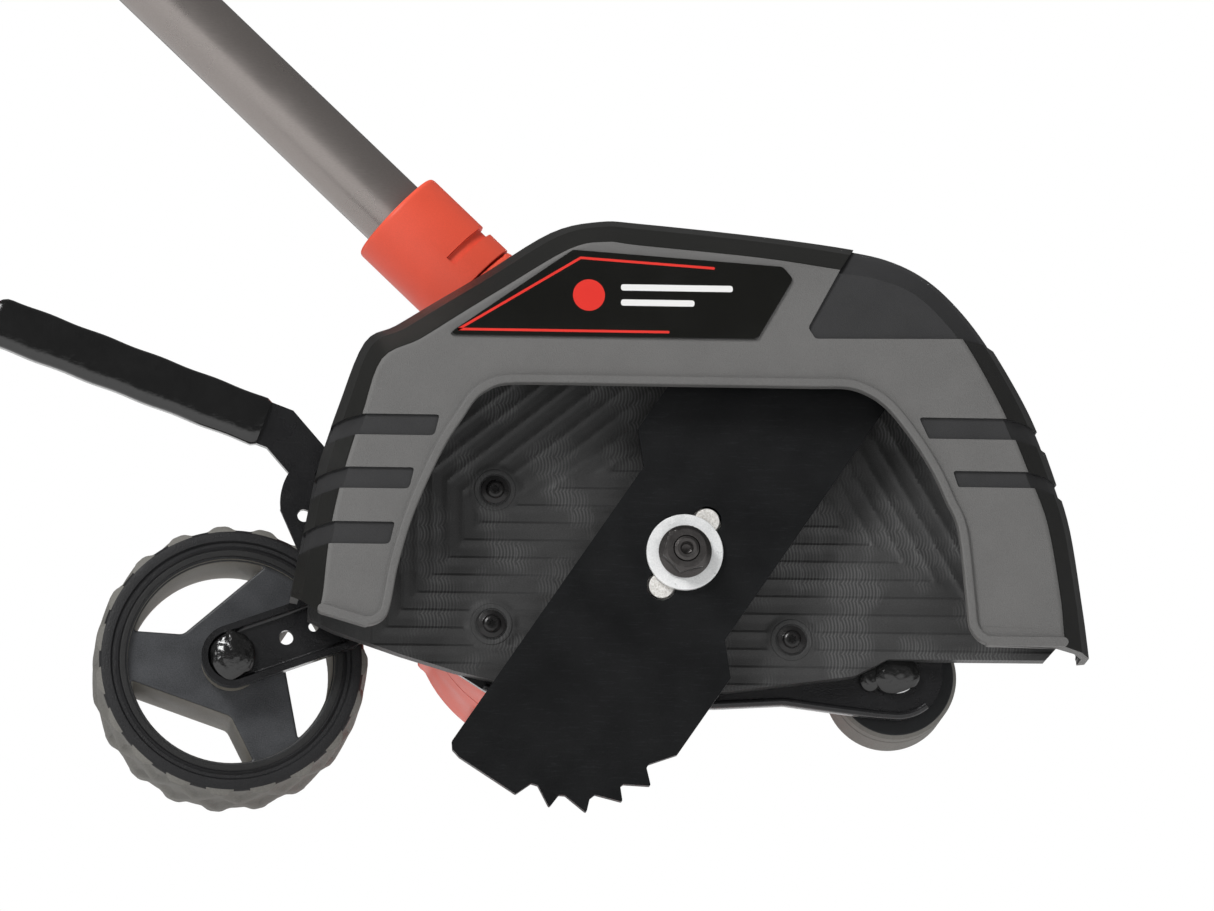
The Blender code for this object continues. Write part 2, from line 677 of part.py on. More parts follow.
def make_collar():
    """The clamping collar, with a slit over half its turn."""
    edge = 1.6
    section = [(0.0, TUBE_R + GAP), (0.0, COLLAR_R - edge), (edge * 0.3, COLLAR_R - edge * 0.3), (edge, COLLAR_R),
               (COLLAR_L, COLLAR_R), (COLLAR_L, TUBE_R + GAP)]
    collar = turned("tube_collar", section, COLLAR_TOP, -UP, red_plastic(), ring=True)
    ring = tube_profile(COLLAR_SLIT_AT - COLLAR_SLIT_W / 2, COLLAR_SLIT_AT + COLLAR_SLIT_W / 2, COLLAR_R + 3.0,
                        COLLAR_R - COLLAR_SLIT_D)
    slit = turned("collar_slit_tool", ring, COLLAR_TOP, -UP, red_plastic(), ring=True)
    block = prism("collar_slit_keep", [on_tube_xz(20, 0.5), on_tube_xz(20, 40), on_tube_xz(-60, 40),
                                       on_tube_xz(-60, 0.5)], TUBE_Y - 40, TUBE_Y + 40, red_plastic())
    boolean(slit, block, "INTERSECT")
    cut(collar, slit)


# ---------------------------------------------------------------- guard and plates

# Stations round the guard's arch, from the rear leg over the top to the front leg: a point of the mouth's edge,
# of the face's edge, and of the rear rim.
GUARD_PARTS = 1            # further points between two stations, plus one
GUARD_STATIONS = (
    (-96.0, -28.0, -114.6, -22.6, -122.3, -14.0), (-92.8, -21.3, -113.3, -17.0, -121.3, -8.0),
    (-90.2, -7.9, -112.2, -6.0, -119.5, 1.0), (-86.2, 6.2, -110.5, 6.4, -117.4, 11.0),
    (-80.9, 19.5, -106.6, 23.1, -113.8, 28.0), (-75.0, 31.6, -101.3, 40.1, -107.6, 47.0),
    (-70.1, 39.2, -95.4, 57.4, -99.7, 67.0), (-66.4, 44.9, -83.6, 63.9, -90.0, 72.5),
    (-62.7, 48.0, -72.0, 71.4, -77.0, 80.6), (-56.5, 50.2, -58.0, 80.3, -62.0, 89.8),
    (-40.0, 50.5, -37.0, 93.2, -41.3, 103.0), (-28.0, 50.5, -25.4, 95.7, -26.0, 106.8),
    (-15.0, 50.5, -15.0, 94.7, -12.3, 106.3), (22.0, 50.5, 22.6, 91.4, 25.3, 102.8),
    (40.0, 50.5, 46.8, 88.1, 53.4, 99.2), (49.3, 50.5, 58.9, 86.5, 67.0, 96.0),
    (54.8, 49.1, 70.9, 82.0, 78.0, 90.3), (60.2, 46.0, 80.0, 74.0, 87.6, 81.5),
    (65.0, 41.2, 87.8, 63.9, 96.5, 70.0), (71.1, 32.9, 96.9, 47.4, 106.0, 54.0),
    (76.5, 24.0, 101.5, 37.0, 112.0, 41.5), (80.6, 15.0, 107.0, 23.0, 117.6, 26.0),
    (84.4, 5.6, 112.3, 8.1, 122.2, 10.0), (86.7, -16.0, 116.0, -14.0, 125.8, -14.0),
    (87.9, -25.2, 117.0, -25.0, 127.2, -25.0), (92.4, -30.4, 117.6, -30.4, 127.8, -30.4))


def inward(points, distance):
    """An open line of XZ points moved towards the guard's middle, square to the line."""
    out = []
    last = len(points) - 1
    for i, (x, z) in enumerate(points):
        ahead = Vector(points[min(last, i + 1)]) - Vector(points[max(0, i - 1)])
        normal = Vector((ahead.y, -ahead.x)).normalized()
        out.append((x + normal.x * distance, z + normal.y * distance))
    return out


def guard_lines():
    """The mouth, face and rear lines of the guard as smooth lists of XZ points."""
    stations = smooth_line(GUARD_STATIONS, GUARD_PARTS)
    return ([s[0:2] for s in stations], [s[2:4] for s in stations], [s[4:6] for s in stations])


def make_guard():
    mouth, face, rear = guard_lines()
    lip_y = GUARD_FRONT - GUARD_LIP
    inner_y = GUARD_FRONT + GUARD_WALL
    shoulder = [((f[0] * 0.35 + r[0] * 0.65), (f[1] * 0.35 + r[1] * 0.65)) for f, r in zip(face, rear)]
    lip = inward(mouth, -LIP_W)
    face_in = inward(face, GUARD_WALL)
    shoulder_in = inward(shoulder, GUARD_WALL)
    rear_in = inward(rear, GUARD_WALL)
    rows = [(mouth, inner_y), (mouth, lip_y), (lip, lip_y), (lip, GUARD_FRONT), (face, GUARD_FRONT),
            (shoulder, GUARD_SHOULDER), (rear, GUARD_BEND), (rear, GUARD_REAR), (rear_in, GUARD_REAR),
            (rear_in, GUARD_BEND + 0.5), (shoulder_in, GUARD_SHOULDER + 1.0), (face_in, inner_y)]
    bm = bmesh.new()
    grid = [[bm.verts.new((x, y, z)) for x, z in line] for line, y in rows]
    count = len(mouth)
    for i in range(len(grid)):
        for j in range(count - 1):
            bm.faces.new((grid[i - 1][j], grid[i][j], grid[i][j + 1], grid[i - 1][j + 1]))
    for j in (0, count - 1):
        bm.faces.new([row[j] for row in grid])
    bmesh.ops.triangulate(bm, faces=[f for f in bm.faces if len(f.verts) > 4])
    from_bmesh("blade_guard", bm, guard_grey())


PLATE_BOTTOM = ((114.7, -30.1), (65.2, -30.3), (60.2, -33.0), (54.8, -35.7), (36.7, -38.2), (14.7, -41.1),
                (-58.0, -38.6), (-70.8, -35.7), (-87.8, -30.6), (-108.5, -23.6), (-116.6, -19.8))


def make_back_plate():
    """The moulded plate that closes the guard behind the blade, with a boss behind each screw."""
    _, _, rear = guard_lines()
    arch = inward(rear, GUARD_WALL + GAP)[3:-2]
    outline = arch + list(PLATE_BOTTOM)
    rear_y = PLATE_FRONT + PLATE_T
    holes = [circle(*spot, SCREW_R + BORE_GAP) for spot in SCREW_SPOTS]
    holes.append(circle(0, 0, FLANGE_R + 2.0))
    plate = prism("guard_back_plate", outline, PLATE_FRONT, rear_y, black_plastic(), holes)
    bosses = [circle(*spot, 5.0) for spot in SCREW_SPOTS]
    bores = [circle(*spot, SCREW_R + 2 * BORE_GAP) for spot in SCREW_SPOTS]
    join(plate, prism("boss_tool", bosses[0], rear_y - 1.0, CHASSIS_FRONT - GAP, black_plastic(),
                      bosses[1:] + bores))
    for number, spot in enumerate(SCREW_SPOTS):
        make_screw(f"guard_screw_{number + 1}", PLATE_FRONT - GAP, CHASSIS_REAR + 2.5, spot, head_side=-1.0)


CHASSIS_EDGE = ((-125.2, 16.0, 0), (-118.8, 1.5, 6), (-106.0, -14.0, 12), (-84.0, -22.0, 10), (-70.5, -34.8, 3),
                (-59.8, -41.6, 6), (11.0, -45.7, 20), (32.7, -44.4, 10), (49.4, -46.5, 10), (62.0, -48.0, 4))
CHASSIS_TOP = ((83.2, -20.0, 8), (72.0, 2.0, 20), (40.0, 46.0, 16), (-52.0, 46.0, 14), (-72.0, 36.0, 14),
               (-96.0, 33.0, 6))
ROLLER_EYE_R = 14.5
QUADRANT = (-108.0, 18.5)
QUADRANT_R = 17.2


def make_chassis_plate():
    eye = circle(*ROLLER_AXIS, ROLLER_EYE_R, 14, -math.pi / 2, math.pi / 2)
    nose = circle(*QUADRANT, QUADRANT_R, 12, math.radians(75), math.radians(115))
    outline = rounded(list(CHASSIS_EDGE) + [(x, z, 0) for x, z in eye] + list(CHASSIS_TOP)
                      + [(x, z, 0) for x, z in nose], 4)
    holes = [circle(*spot, SCREW_R + BORE_GAP) for spot in SCREW_SPOTS]
    holes += [circle(*spot, DETENT_R) for spot in DETENT_HOLES]
    holes.append(circle(*PIVOT, PIVOT_BOLT_R + BORE_GAP))
    holes.append(circle(*ROLLER_AXIS, AXLE_R + BORE_GAP))
    holes.append(circle(0, 0, SHAFT_R + 2.5))
    prism("chassis_plate", outline, CHASSIS_FRONT, CHASSIS_REAR, black_steel(), holes)


LABEL_CORNERS = ((-75.5, 65.3, 1.0), (-36.0, 93.0, 2.0), (29.8, 88.6, 2.5), (33.0, 84.7, 2.0), (21.7, 65.3, 2.0))
LABEL_T = 0.5


def make_label():
    prism("label_plate", rounded(list(LABEL_CORNERS), 3), GUARD_FRONT - GAP - LABEL_T, GUARD_FRONT - GAP,
          material("label_gloss", (0.008, 0.008, 0.006), 0.15))


# ---------------------------------------------------------------- depth lever and rear wheel

LEVER_END = (-130.4, 44.1)
LEVER_SLOPE = math.radians(20.6)


def lever_line():
    outer = (LEVER_END[0] - (LEVER_GRIP_L - 10) * math.cos(LEVER_SLOPE),
             LEVER_END[1] + (LEVER_GRIP_L - 10) * math.sin(LEVER_SLOPE))
    bend = (LEVER_END[0] + 5.5 * math.cos(LEVER_SLOPE), LEVER_END[1] - 5.5 * math.sin(LEVER_SLOPE))
    return [outer, bend, DETENT_HOLES[0], PIVOT]


def make_lever():
    hub = (PIVOT[0], CHASSIS_REAR, PIVOT[1])
    eye = circle(*PIVOT, PIVOT_TUBE_R + BORE_GAP)
    lever = prism("depth_lever", stroke(lever_line(), LEVER_W), LEVER_FRONT, LEVER_FRONT + LEVER_T,
                  black_steel(), origin=hub)
    disc = rod_profile(LEVER_FRONT + 0.1, LEVER_FRONT + LEVER_T - 0.1, PIVOT_TUBE_R + EYE_WALL, 0.2)
    ring = along_y("lever_eye_tool", disc, PIVOT, black_steel())
    join(lever, ring)
    weld(lever)
    cut(lever, prism("lever_bore_tool", eye, LEVER_FRONT - 1, LEVER_FRONT + LEVER_T + 1, black_steel()))
    weld(lever)
    nub = [(CHASSIS_REAR + GAP, 0.0), (CHASSIS_REAR + GAP + 0.2, DETENT_R - 1.0),
           (LEVER_FRONT + 0.5, DETENT_R - 0.2), (LEVER_FRONT + 1.0, 0.0)]
    join(lever, along_y("detent_tool", nub, DETENT_HOLES[0], black_steel()))
    make_lever_grip(hub)


def make_lever_grip(hub):
    """A dipped sleeve over the lever's end, closed at its tip."""
    side = (LEVER_W + 2.0) / 2
    tip = LEVER_GRIP_L + 1.5

    def place(along, across):
        return (LEVER_END[0] - along * math.cos(LEVER_SLOPE) + across * math.sin(LEVER_SLOPE),
                LEVER_END[1] + along * math.sin(LEVER_SLOPE) + across * math.cos(LEVER_SLOPE))

    corners = [(*place(0.0, -side), 1.5), (*place(0.0, side), 1.5), (*place(tip, side), 6.0),
               (*place(tip, -side), 6.0)]
    grip = prism("lever_grip", rounded(corners, 4), LEVER_FRONT - 1.8, LEVER_FRONT + LEVER_T + 1.8, rubber(),
                 origin=hub)
    room = offset(stroke(lever_line(), LEVER_W), GAP)
    cut(grip, prism("grip_room_tool", room, LEVER_FRONT - GAP, LEVER_FRONT + LEVER_T + GAP, rubber()))
    bevel(grip, 0.9)


def arm_line():
    return [WHEEL_AXIS, (-106.0, -17.5), PIVOT]


def make_wheel_arm():
    """A pressed dish: a web with a rim that stands towards the blade side."""
    hub = (PIVOT[0], CHASSIS_REAR, PIVOT[1])
    web_front = ARM_REAR - ARM_T
    holes = [circle(*PIVOT, PIVOT_TUBE_R + BORE_GAP), circle(*WHEEL_AXIS, AXLE_R + BORE_GAP),
             circle(-122.7, -23.3, 2.3), circle(-114.1, -19.7, 1.6)]
    arm = prism("wheel_arm", stroke(arm_line(), ARM_W + 2.0, 9), ARM_REAR - ARM_FLANGE, ARM_REAR, black_steel(),
                holes, origin=hub)
    pocket = stroke(arm_line(), ARM_W - 2.5, 9)
    cut(arm, prism("arm_pocket_tool", pocket, ARM_REAR - ARM_FLANGE - 1, web_front, black_steel()))
    tube = tube_profile(LEVER_FRONT - 0.5, ARM_REAR + 1.0, PIVOT_TUBE_R, PIVOT_BOLT_R + BORE_GAP)
    along_y("pivot_tube", tube, PIVOT, zinc(), ring=True)
    bolt = [(CHASSIS_FRONT - GAP - 2.4, 0.0), (CHASSIS_FRONT - GAP - 2.4, 6.0), (CHASSIS_FRONT - GAP, 7.2),
            (CHASSIS_FRONT - GAP, PIVOT_BOLT_R), (ARM_REAR + 2.6, PIVOT_BOLT_R), (ARM_REAR + 2.6, 0.0)]
    along_y("pivot_bolt", bolt, PIVOT, zinc())


def make_rear_wheel():
    hub = (WHEEL_AXIS[0], WHEEL_FRONT, WHEEL_AXIS[1])
    rear = WHEEL_FRONT + WHEEL_W
    mid = WHEEL_FRONT + WHEEL_W / 2
    crown = WHEEL_R - 1.2
    tyre = [(WHEEL_FRONT + 1.0, RIM_R + GAP), (WHEEL_FRONT, RIM_R + 2.5), (WHEEL_FRONT, WHEEL_R - 3.0),
            (WHEEL_FRONT + 3.0, crown), (mid, WHEEL_R), (rear - 3.0, crown), (rear, WHEEL_R - 3.0),
            (rear, RIM_R + 2.5), (rear - 1.0, RIM_R + GAP)]
    along_y("rear_tyre", tyre, WHEEL_AXIS, rubber(), ring=True)
    rim = along_y("rear_rim", tube_profile(WHEEL_FRONT + 1.5, rear - 1.5, RIM_R, RIM_R - RIM_WALL, 0.6), WHEEL_AXIS,
                  black_plastic(), ring=True, origin=hub)
    windows = []
    inner = RIM_R - RIM_WALL - 1.0
    for k in range(3):
        start = math.radians(SPOKE_TURN + 120 * k)
        lean = math.radians(17)
        foot = math.radians(36)
        arc = circle(*WHEEL_AXIS, inner, 9, start + lean, math.radians(120) - 2 * lean)
        back = circle(*WHEEL_AXIS, HUB_R + 1.5, 4, start + math.radians(120) - foot, 2 * foot - math.radians(120))
        windows.append(arc + back)
    disc = circle(*WHEEL_AXIS, RIM_R - RIM_WALL / 2)
    spokes = prism("spoke_tool", disc, mid - 11.0, mid - 3.0, black_plastic(),
                   [*windows, circle(*WHEEL_AXIS, AXLE_R + BORE_GAP)])
    join(rim, spokes)
    sleeve = tube_profile(WHEEL_FRONT - 3.0, rear - 2.0, HUB_R - 1.0, AXLE_R + BORE_GAP)
    join(rim, along_y("hub_tool", sleeve, WHEEL_AXIS, black_plastic(), ring=True))
    weld_front = ARM_REAR - ARM_FLANGE - 0.6
    axle = [(weld_front, 0.0), (weld_front + 0.4, 4.2), (ARM_REAR - ARM_T - GAP, 6.6),
            (ARM_REAR - ARM_T - GAP, AXLE_R), (rear + 5.0, AXLE_R), (rear + 5.6, AXLE_R - 0.6), (rear + 5.6, 0.0)]
    along_y("wheel_axle", axle, WHEEL_AXIS, zinc())
    make_hex_nut("wheel_nut", rear - 2.0 + GAP, rear + 4.5, 15.0, AXLE_R + BORE_GAP, WHEEL_AXIS, zinc())


def make_roller():
    rear = ROLLER_FRONT + ROLLER_W
    hub = (ROLLER_AXIS[0], ROLLER_FRONT, ROLLER_AXIS[1])
    bore = AXLE_R + BORE_GAP
    profile = [(ROLLER_FRONT + 1.5, bore), (ROLLER_FRONT + 1.5, ROLLER_R - 5.0), (ROLLER_FRONT, ROLLER_R - 4.0),
               (ROLLER_FRONT, ROLLER_R - 1.2), (ROLLER_FRONT + 1.2, ROLLER_R), (rear - 1.2, ROLLER_R),
               (rear, ROLLER_R - 1.2), (rear, ROLLER_R - 4.0), (rear - 1.5, ROLLER_R - 5.0), (rear - 1.5, bore)]
    along_y("front_roller", profile, ROLLER_AXIS, rubber(), ring=True, origin=hub)
    weld_rear = CHASSIS_FRONT - GAP
    axle = [(weld_rear - 2.6, 0.0), (weld_rear - 2.0, 4.6), (weld_rear, 7.0), (weld_rear, AXLE_R),
            (rear + 3.0, AXLE_R), (rear + 3.5, AXLE_R - 0.5), (rear + 3.5, 0.0)]
    along_y("roller_axle", axle, ROLLER_AXIS, zinc())
    clip = tube_profile(rear - 1.5 + GAP, rear + 1.6, AXLE_R + 4.0, AXLE_R + BORE_GAP, 0.3)
    along_y("roller_retainer", clip, ROLLER_AXIS, zinc(), ring=True)


# ---------------------------------------------------------------- tubes and second handle

def make_tubes():
    lower = tube_profile(-TUBE_SEAT + GAP, LOWER_TUBE_L, TUBE_R, TUBE_R - TUBE_WALL, 0.4)
    turned("lower_tube", lower, COLLAR_TOP, UP, aluminium(), ring=True)
    upper = tube_profile(UPPER_TUBE_START, UPPER_TUBE_START + UPPER_TUBE_L, UPPER_TUBE_R,
                         UPPER_TUBE_R - UPPER_TUBE_WALL, 0.4)
    turned("upper_tube", upper, COLLAR_TOP, UP, aluminium(), ring=True)
    start = UPPER_TUBE_START - 24.0
    bore_low = TUBE_R + GAP
    bore_high = UPPER_TUBE_R + GAP
    sleeve = [(start, bore_low), (start, SLEEVE_R - 3.0), (start + 5.0, SLEEVE_R - 0.5), (start + 14.0, SLEEVE_R),
              (start + SLEEVE_L - 10.0, SLEEVE_R), (start + SLEEVE_L, SLEEVE_R - 3.5), (start + SLEEVE_L, bore_high),
              (UPPER_TUBE_START - GAP, bore_high), (UPPER_TUBE_START - GAP, bore_low)]
    turned("twist_lock_sleeve", sleeve, COLLAR_TOP, UP, red_plastic(), ring=True)


def make_aux_clamp():
    centre = on_tube_xz(AUX_AT)
    ring = UPPER_TUBE_R + GAP
    half = AUX_CLAMP_HALF
    block = [on_tube_xz(AUX_AT - 15, -ring - 5), on_tube_xz(AUX_AT + 15, -ring - 5),
             on_tube_xz(AUX_AT + 15, ring + 4), on_tube_xz(AUX_AT + 9, AUX_PIVOT_SIDE + 9),
             on_tube_xz(AUX_AT - 9, AUX_PIVOT_SIDE + 9), on_tube_xz(AUX_AT - 15, ring + 4)]
    radii = (5, 5, 3, 8, 8, 3)
    corners = [(x, z, r) for (x, z), r in zip(block, radii)]
    pivot = (AUX_PIVOT.x, AUX_PIVOT.z)
    clamp = prism("aux_handle_clamp", rounded(corners, 4), TUBE_Y - half, TUBE_Y + half, black_plastic(),
                  [circle(*pivot, AUX_BOLT_R + BORE_GAP)], origin=(centre[0], TUBE_Y, centre[1]))
    bevel(clamp, 1.5)
    cut(clamp, turned("clamp_bore_tool", rod_profile(AUX_AT - 30, AUX_AT + 30, ring), COLLAR_TOP, UP,
                      black_plastic()))
    ear_out = half + AUX_EAR_GAP + AUX_EAR
    bolt = [(-ear_out - 4.5, 0.0), (-ear_out - 4.5, 5.5), (-ear_out - 4.0, 6.5), (-ear_out - GAP, 6.5),
            (-ear_out - GAP, AUX_BOLT_R), (ear_out + 9.0, AUX_BOLT_R), (ear_out + 9.0, 0.0)]
    along_y("aux_handle_bolt", [(TUBE_Y + y, r) for y, r in bolt], pivot, zinc())
    make_knob(pivot, TUBE_Y + ear_out + GAP)


def make_knob(pivot, seat):
    """A lobed clamping knob with a blind bore."""
    lobes = []
    for k in range(30):
        angle = 2 * math.pi * k / 30
        r = KNOB_R + 1.2 * math.cos(6 * angle)
        lobes.append((pivot[0] + r * math.cos(angle), pivot[1] + r * math.sin(angle)))
    knob = prism("aux_handle_knob", lobes, seat, seat + 16.0, black_plastic(), origin=(pivot[0], seat, pivot[1]))
    cut(knob, along_y("knob_bore_tool", rod_profile(seat - 1, seat + 11.0, AUX_BOLT_R + BORE_GAP), pivot,
                      black_plastic()))
    bevel(knob, 2.0)


def make_aux_handle():
    """A closed loop of bar that stands square to the tube and hinges on the clamp's bolt."""
    pivot = AUX_PIVOT
    ear = AUX_CLAMP_HALF + AUX_EAR_GAP + AUX_EAR / 2
    path = [(-ear, 0.0), (-ear, AUX_EAR_REACH), (-ear - 6.0, AUX_EAR_REACH + 10.0), (-AUX_HALF_W + 4.0, 40.0),
            (-AUX_HALF_W, 52.0), (-AUX_HALF_W, AUX_REACH - 20.0), (-AUX_HALF_W + 6.0, AUX_REACH - 6.0),
            (-AUX_HALF_W + 20.0, AUX_REACH)]
    route = smooth_line(path, 2)
    route += [(-y, up) for y, up in reversed(route)]
    frames = []
    for i, (y, up) in enumerate(route):
        before = route[max(0, i - 1)]
        after = route[min(len(route) - 1, i + 1)]
        heading = Vector((after[0] - before[0], after[1] - before[1])).normalized()
        frames.append((y, up, Vector((-heading.y, heading.x))))
    bm = bmesh.new()
    rows = []
    around = 8
    for y, up, normal in frames:
        centre = pivot + Vector((0, y, 0)) + ACROSS * up
        flat = Vector((0, normal.x, 0)) + ACROSS * normal.y
        half = AUX_BAR_R if up > AUX_EAR_REACH else AUX_EAR / 2
        row = []
        for k in range(around):
            angle = 2 * math.pi * k / around
            row.append(bm.verts.new(centre + flat * (half * math.cos(angle)) + UP * (AUX_BAR_R * math.sin(angle))))
        rows.append(row)
    for low, high in zip(rows, rows[1:]):
        for k in range(around):
            bm.faces.new((low[k - 1], low[k], high[k], high[k - 1]))
    for row in (rows[0], rows[-1]):
        bm.faces.new(row)
    loop = from_bmesh("aux_handle_loop", bm, black_plastic(), origin=tuple(pivot))
    for side in (-1, 1):
        mid = TUBE_Y + side * ear
        eye = along_y(f"ear_tool_{side}", rod_profile(mid - AUX_EAR / 2, mid + AUX_EAR / 2, 11.0), (pivot.x, pivot.z),
                      black_plastic())
        join(loop, eye)
    bore = rod_profile(TUBE_Y - 60, TUBE_Y + 60, AUX_BOLT_R + BORE_GAP)
    cut(loop, along_y("ear_bore_tool", bore, (pivot.x, pivot.z), black_plastic()))
    centre = pivot + ACROSS * AUX_REACH
    half = AUX_HALF_W - 21.0
    sleeve = tube_profile(-half, half, AUX_GRIP_R, AUX_BAR_R + GAP, 1.5)
    turned("aux_handle_grip", sleeve, centre, (0, 1, 0), rubber(), ring=True, origin=tuple(pivot))


# ---------------------------------------------------------------- rear handle and battery

HANDLE_AT = UPPER_TUBE_START + UPPER_TUBE_L

# (a, b, radius) of the outer edge and of the hand opening
HANDLE_EDGE_R = 3.5
HANDLE_EDGE = ((-75, -20.0, 8), (30, -22.0, 30), (150, -27.0, 20), (176, -34.0, 10), (214, -34.0, 9),
               (214, 58.0, 10), (196, 66.0, 16), (120, 68.0, 60), (70, 66.0, 40), (24, 40.0, 30), (-10, 22.0, 20),
               (-75, 20.0, 8))
HAND_OPENING = ((44, -2.0, 10), (146, -5.0, 14), (164, 8.0, 14), (164, 30.0, 12), (140, 38.0, 30), (78, 38.0, 16),
                (50, 20.0, 14))
BATTERY_FRONT = 214.0 + GAP
BATTERY_REAR = 292.0
BATTERY_LOW = -38.0
BATTERY_HIGH = 62.0
BATTERY_HALF_W = 37.5
LATCH_HALF_W = 12.0
LATCH_A = (224.0, 246.0)
SWITCH_A = (86.0, 116.0)
SWITCH_B = (50.5, 62.0)
SWITCH_HALF_W = 4.6
TRIGGER_AT = (66.0, 98.0)
TRIGGER_HALF_W = 6.5
LOCK_OFF_AT = (78.0, 53.0)
LOCK_OFF_R = 6.0
LOCK_OFF_TRAVEL = 4.0
SOFT_GRIP_GAP = 0.9


def on_handle(a, b):
    return on_tube_xz(HANDLE_AT + a, b)


def handle_outline(corners, grow=0.0):
    outline = [on_handle(a, b) for a, b in rounded(list(corners), 2)]
    return offset(outline, grow) if grow else outline


def grip_box(name, a0, a1, b0, b1, half_w, mat, radius=1.0, y_mid=TUBE_Y):
    corners = [(*on_handle(a0, b0), radius), (*on_handle(a1, b0), radius), (*on_handle(a1, b1), radius),
               (*on_handle(a0, b1), radius)]
    return prism(name, rounded(corners, 3), y_mid - half_w, y_mid + half_w, mat)


def make_handle_shell(name, side):
    """One half of the rear handle: a ring-shaped shell, open towards the other half."""
    split = TUBE_Y + side * GAP / 2
    outer = TUBE_Y + side * HANDLE_HALF_W
    shell = soft_prism(name, handle_outline(HANDLE_EDGE), split, outer, HANDLE_EDGE_R, black_plastic(),
                       [handle_outline(HAND_OPENING)])
    inset = outer - side * HANDLE_WALL
    low, high = sorted((split - side * 5.0, inset))
    room = prism(name + "_room_tool", handle_outline(HANDLE_EDGE, -HANDLE_WALL), low, high, black_plastic(),
                 [handle_outline(HAND_OPENING, HANDLE_WALL)])
    socket = turned(name + "_tube_tool", [(-90, 0.0), (-90, UPPER_TUBE_R + GAP), (20, UPPER_TUBE_R + GAP), (20, 0.0)],
                    on_tube(HANDLE_AT), UP, black_plastic())
    join(room, socket)
    join(room, grip_box(name + "_trigger_tool", TRIGGER_AT[0] - GAP, TRIGGER_AT[1] + GAP, 30, 45,
                        TRIGGER_HALF_W + GAP, black_plastic(), radius=0.0))
    cut(shell, room)
    return shell


def make_rear_handle():
    make_handle_shell("handle_shell_front", -1)
    rear = make_handle_shell("handle_shell_rear", 1)
    centre = on_handle(*LOCK_OFF_AT)
    inner = TUBE_Y + TRIGGER_HALF_W + LOCK_OFF_TRAVEL + 3 * GAP
    outer = TUBE_Y + HANDLE_HALF_W + LOCK_OFF_TRAVEL
    cut(rear, along_y("lock_off_way_tool", rod_profile(inner - 3.0, outer + 8.0, LOCK_OFF_R + GAP), centre,
                      black_plastic()))
    profile = [(inner, 0.0), (inner, LOCK_OFF_R), (outer - 1.5, LOCK_OFF_R), (outer - 0.2, LOCK_OFF_R - 1.4),
               (outer, 0.0)]
    along_y("lock_off_button", profile, centre, red_plastic())
    trigger = [(TRIGGER_AT[0], 43.0, 1.0), (TRIGGER_AT[0], 34.0, 3.0), (TRIGGER_AT[0] + 8.0, 27.0, 8.0),
               (TRIGGER_AT[1] - 10.0, 29.0, 10.0), (TRIGGER_AT[1], 33.0, 3.0), (TRIGGER_AT[1], 43.0, 1.0)]
    outline = [on_handle(a, b) for a, b in rounded(trigger, 4)]
    pull = prism("trigger", outline, TUBE_Y - TRIGGER_HALF_W, TUBE_Y + TRIGGER_HALF_W, red_plastic(),
                 origin=(outline[0][0], TUBE_Y, outline[0][1]))
    bevel(pull, 1.2)
    grip_box("power_switch", *SWITCH_A, *SWITCH_B, SWITCH_HALF_W, black_plastic())
    make_soft_grip()
    make_battery()


def make_soft_grip():
    """A rubber strip that follows the top of the grip."""
    top = [(60, 0), (70, 0), (84, 0), (100, 0), (120, 0), (140, 0), (160, 0)]
    line = [on_handle(a, grip_top(a) + SOFT_GRIP_GAP) for a, _ in top]
    over = [on_handle(a, grip_top(a) + SOFT_GRIP_GAP + (1.2 if a in (60, 160) else 2.4)) for a, _ in top]
    strip = prism("handle_soft_grip", line + over[::-1], TUBE_Y - 10.5, TUBE_Y + 10.5, rubber())
    bevel(strip, 0.5)


def grip_top(a):
    """The height of the handle's upper edge at a, between its corners."""
    edge = handle_edge_ab()
    for (a0, b0), (a1, b1) in zip(edge, edge[1:]):
        if min(a0, a1) <= a <= max(a0, a1) and b0 > 30 and b1 > 30:
            return b0 + (b1 - b0) * (a - a0) / (a1 - a0)
    return 68.0


def handle_edge_ab():
    return rounded(list(HANDLE_EDGE), 4)


def make_battery():
    corners = [(BATTERY_FRONT, BATTERY_LOW, 4), (BATTERY_REAR - 8, BATTERY_LOW, 10),
               (BATTERY_REAR, BATTERY_LOW + 10, 6), (BATTERY_REAR, BATTERY_HIGH - 10, 6),
               (BATTERY_REAR - 8, BATTERY_HIGH, 10), (BATTERY_FRONT, BATTERY_HIGH, 4)]
    outline = [on_handle(a, b) for a, b in rounded(corners, 4)]
    pack = prism("battery_pack", outline, TUBE_Y - BATTERY_HALF_W, TUBE_Y + BATTERY_HALF_W, black_plastic())
    bevel(pack, 3.0)
    room = grip_box("latch_room_tool", *LATCH_A, BATTERY_HIGH - 7, BATTERY_HIGH + 18, LATCH_HALF_W + GAP,
                    black_plastic())
    cut(pack, room)
    grip_box("battery_latch", LATCH_A[0] + GAP, LATCH_A[1] - GAP, BATTERY_HIGH - 3.5, BATTERY_HIGH + 4.0,
             LATCH_HALF_W, red_plastic())


def stand_on_base():
    """Moves everything so that the middle of the bounding box's underside is the origin."""
    graph = bpy.context.evaluated_depsgraph_get()
    low = Vector((1e9, 1e9, 1e9))
    high = -low
    for obj in bpy.context.scene.objects:
        if obj.hide_render:
            continue
        mesh = obj.evaluated_get(graph).to_mesh()
        for vert in mesh.vertices:
            point = obj.matrix_world @ vert.co
            low = Vector(map(min, low, point))
            high = Vector(map(max, high, point))
    shift = Vector((-(low.x + high.x) / 2, -(low.y + high.y) / 2, -low.z))
    for obj in bpy.context.scene.objects:
        obj.location += shift


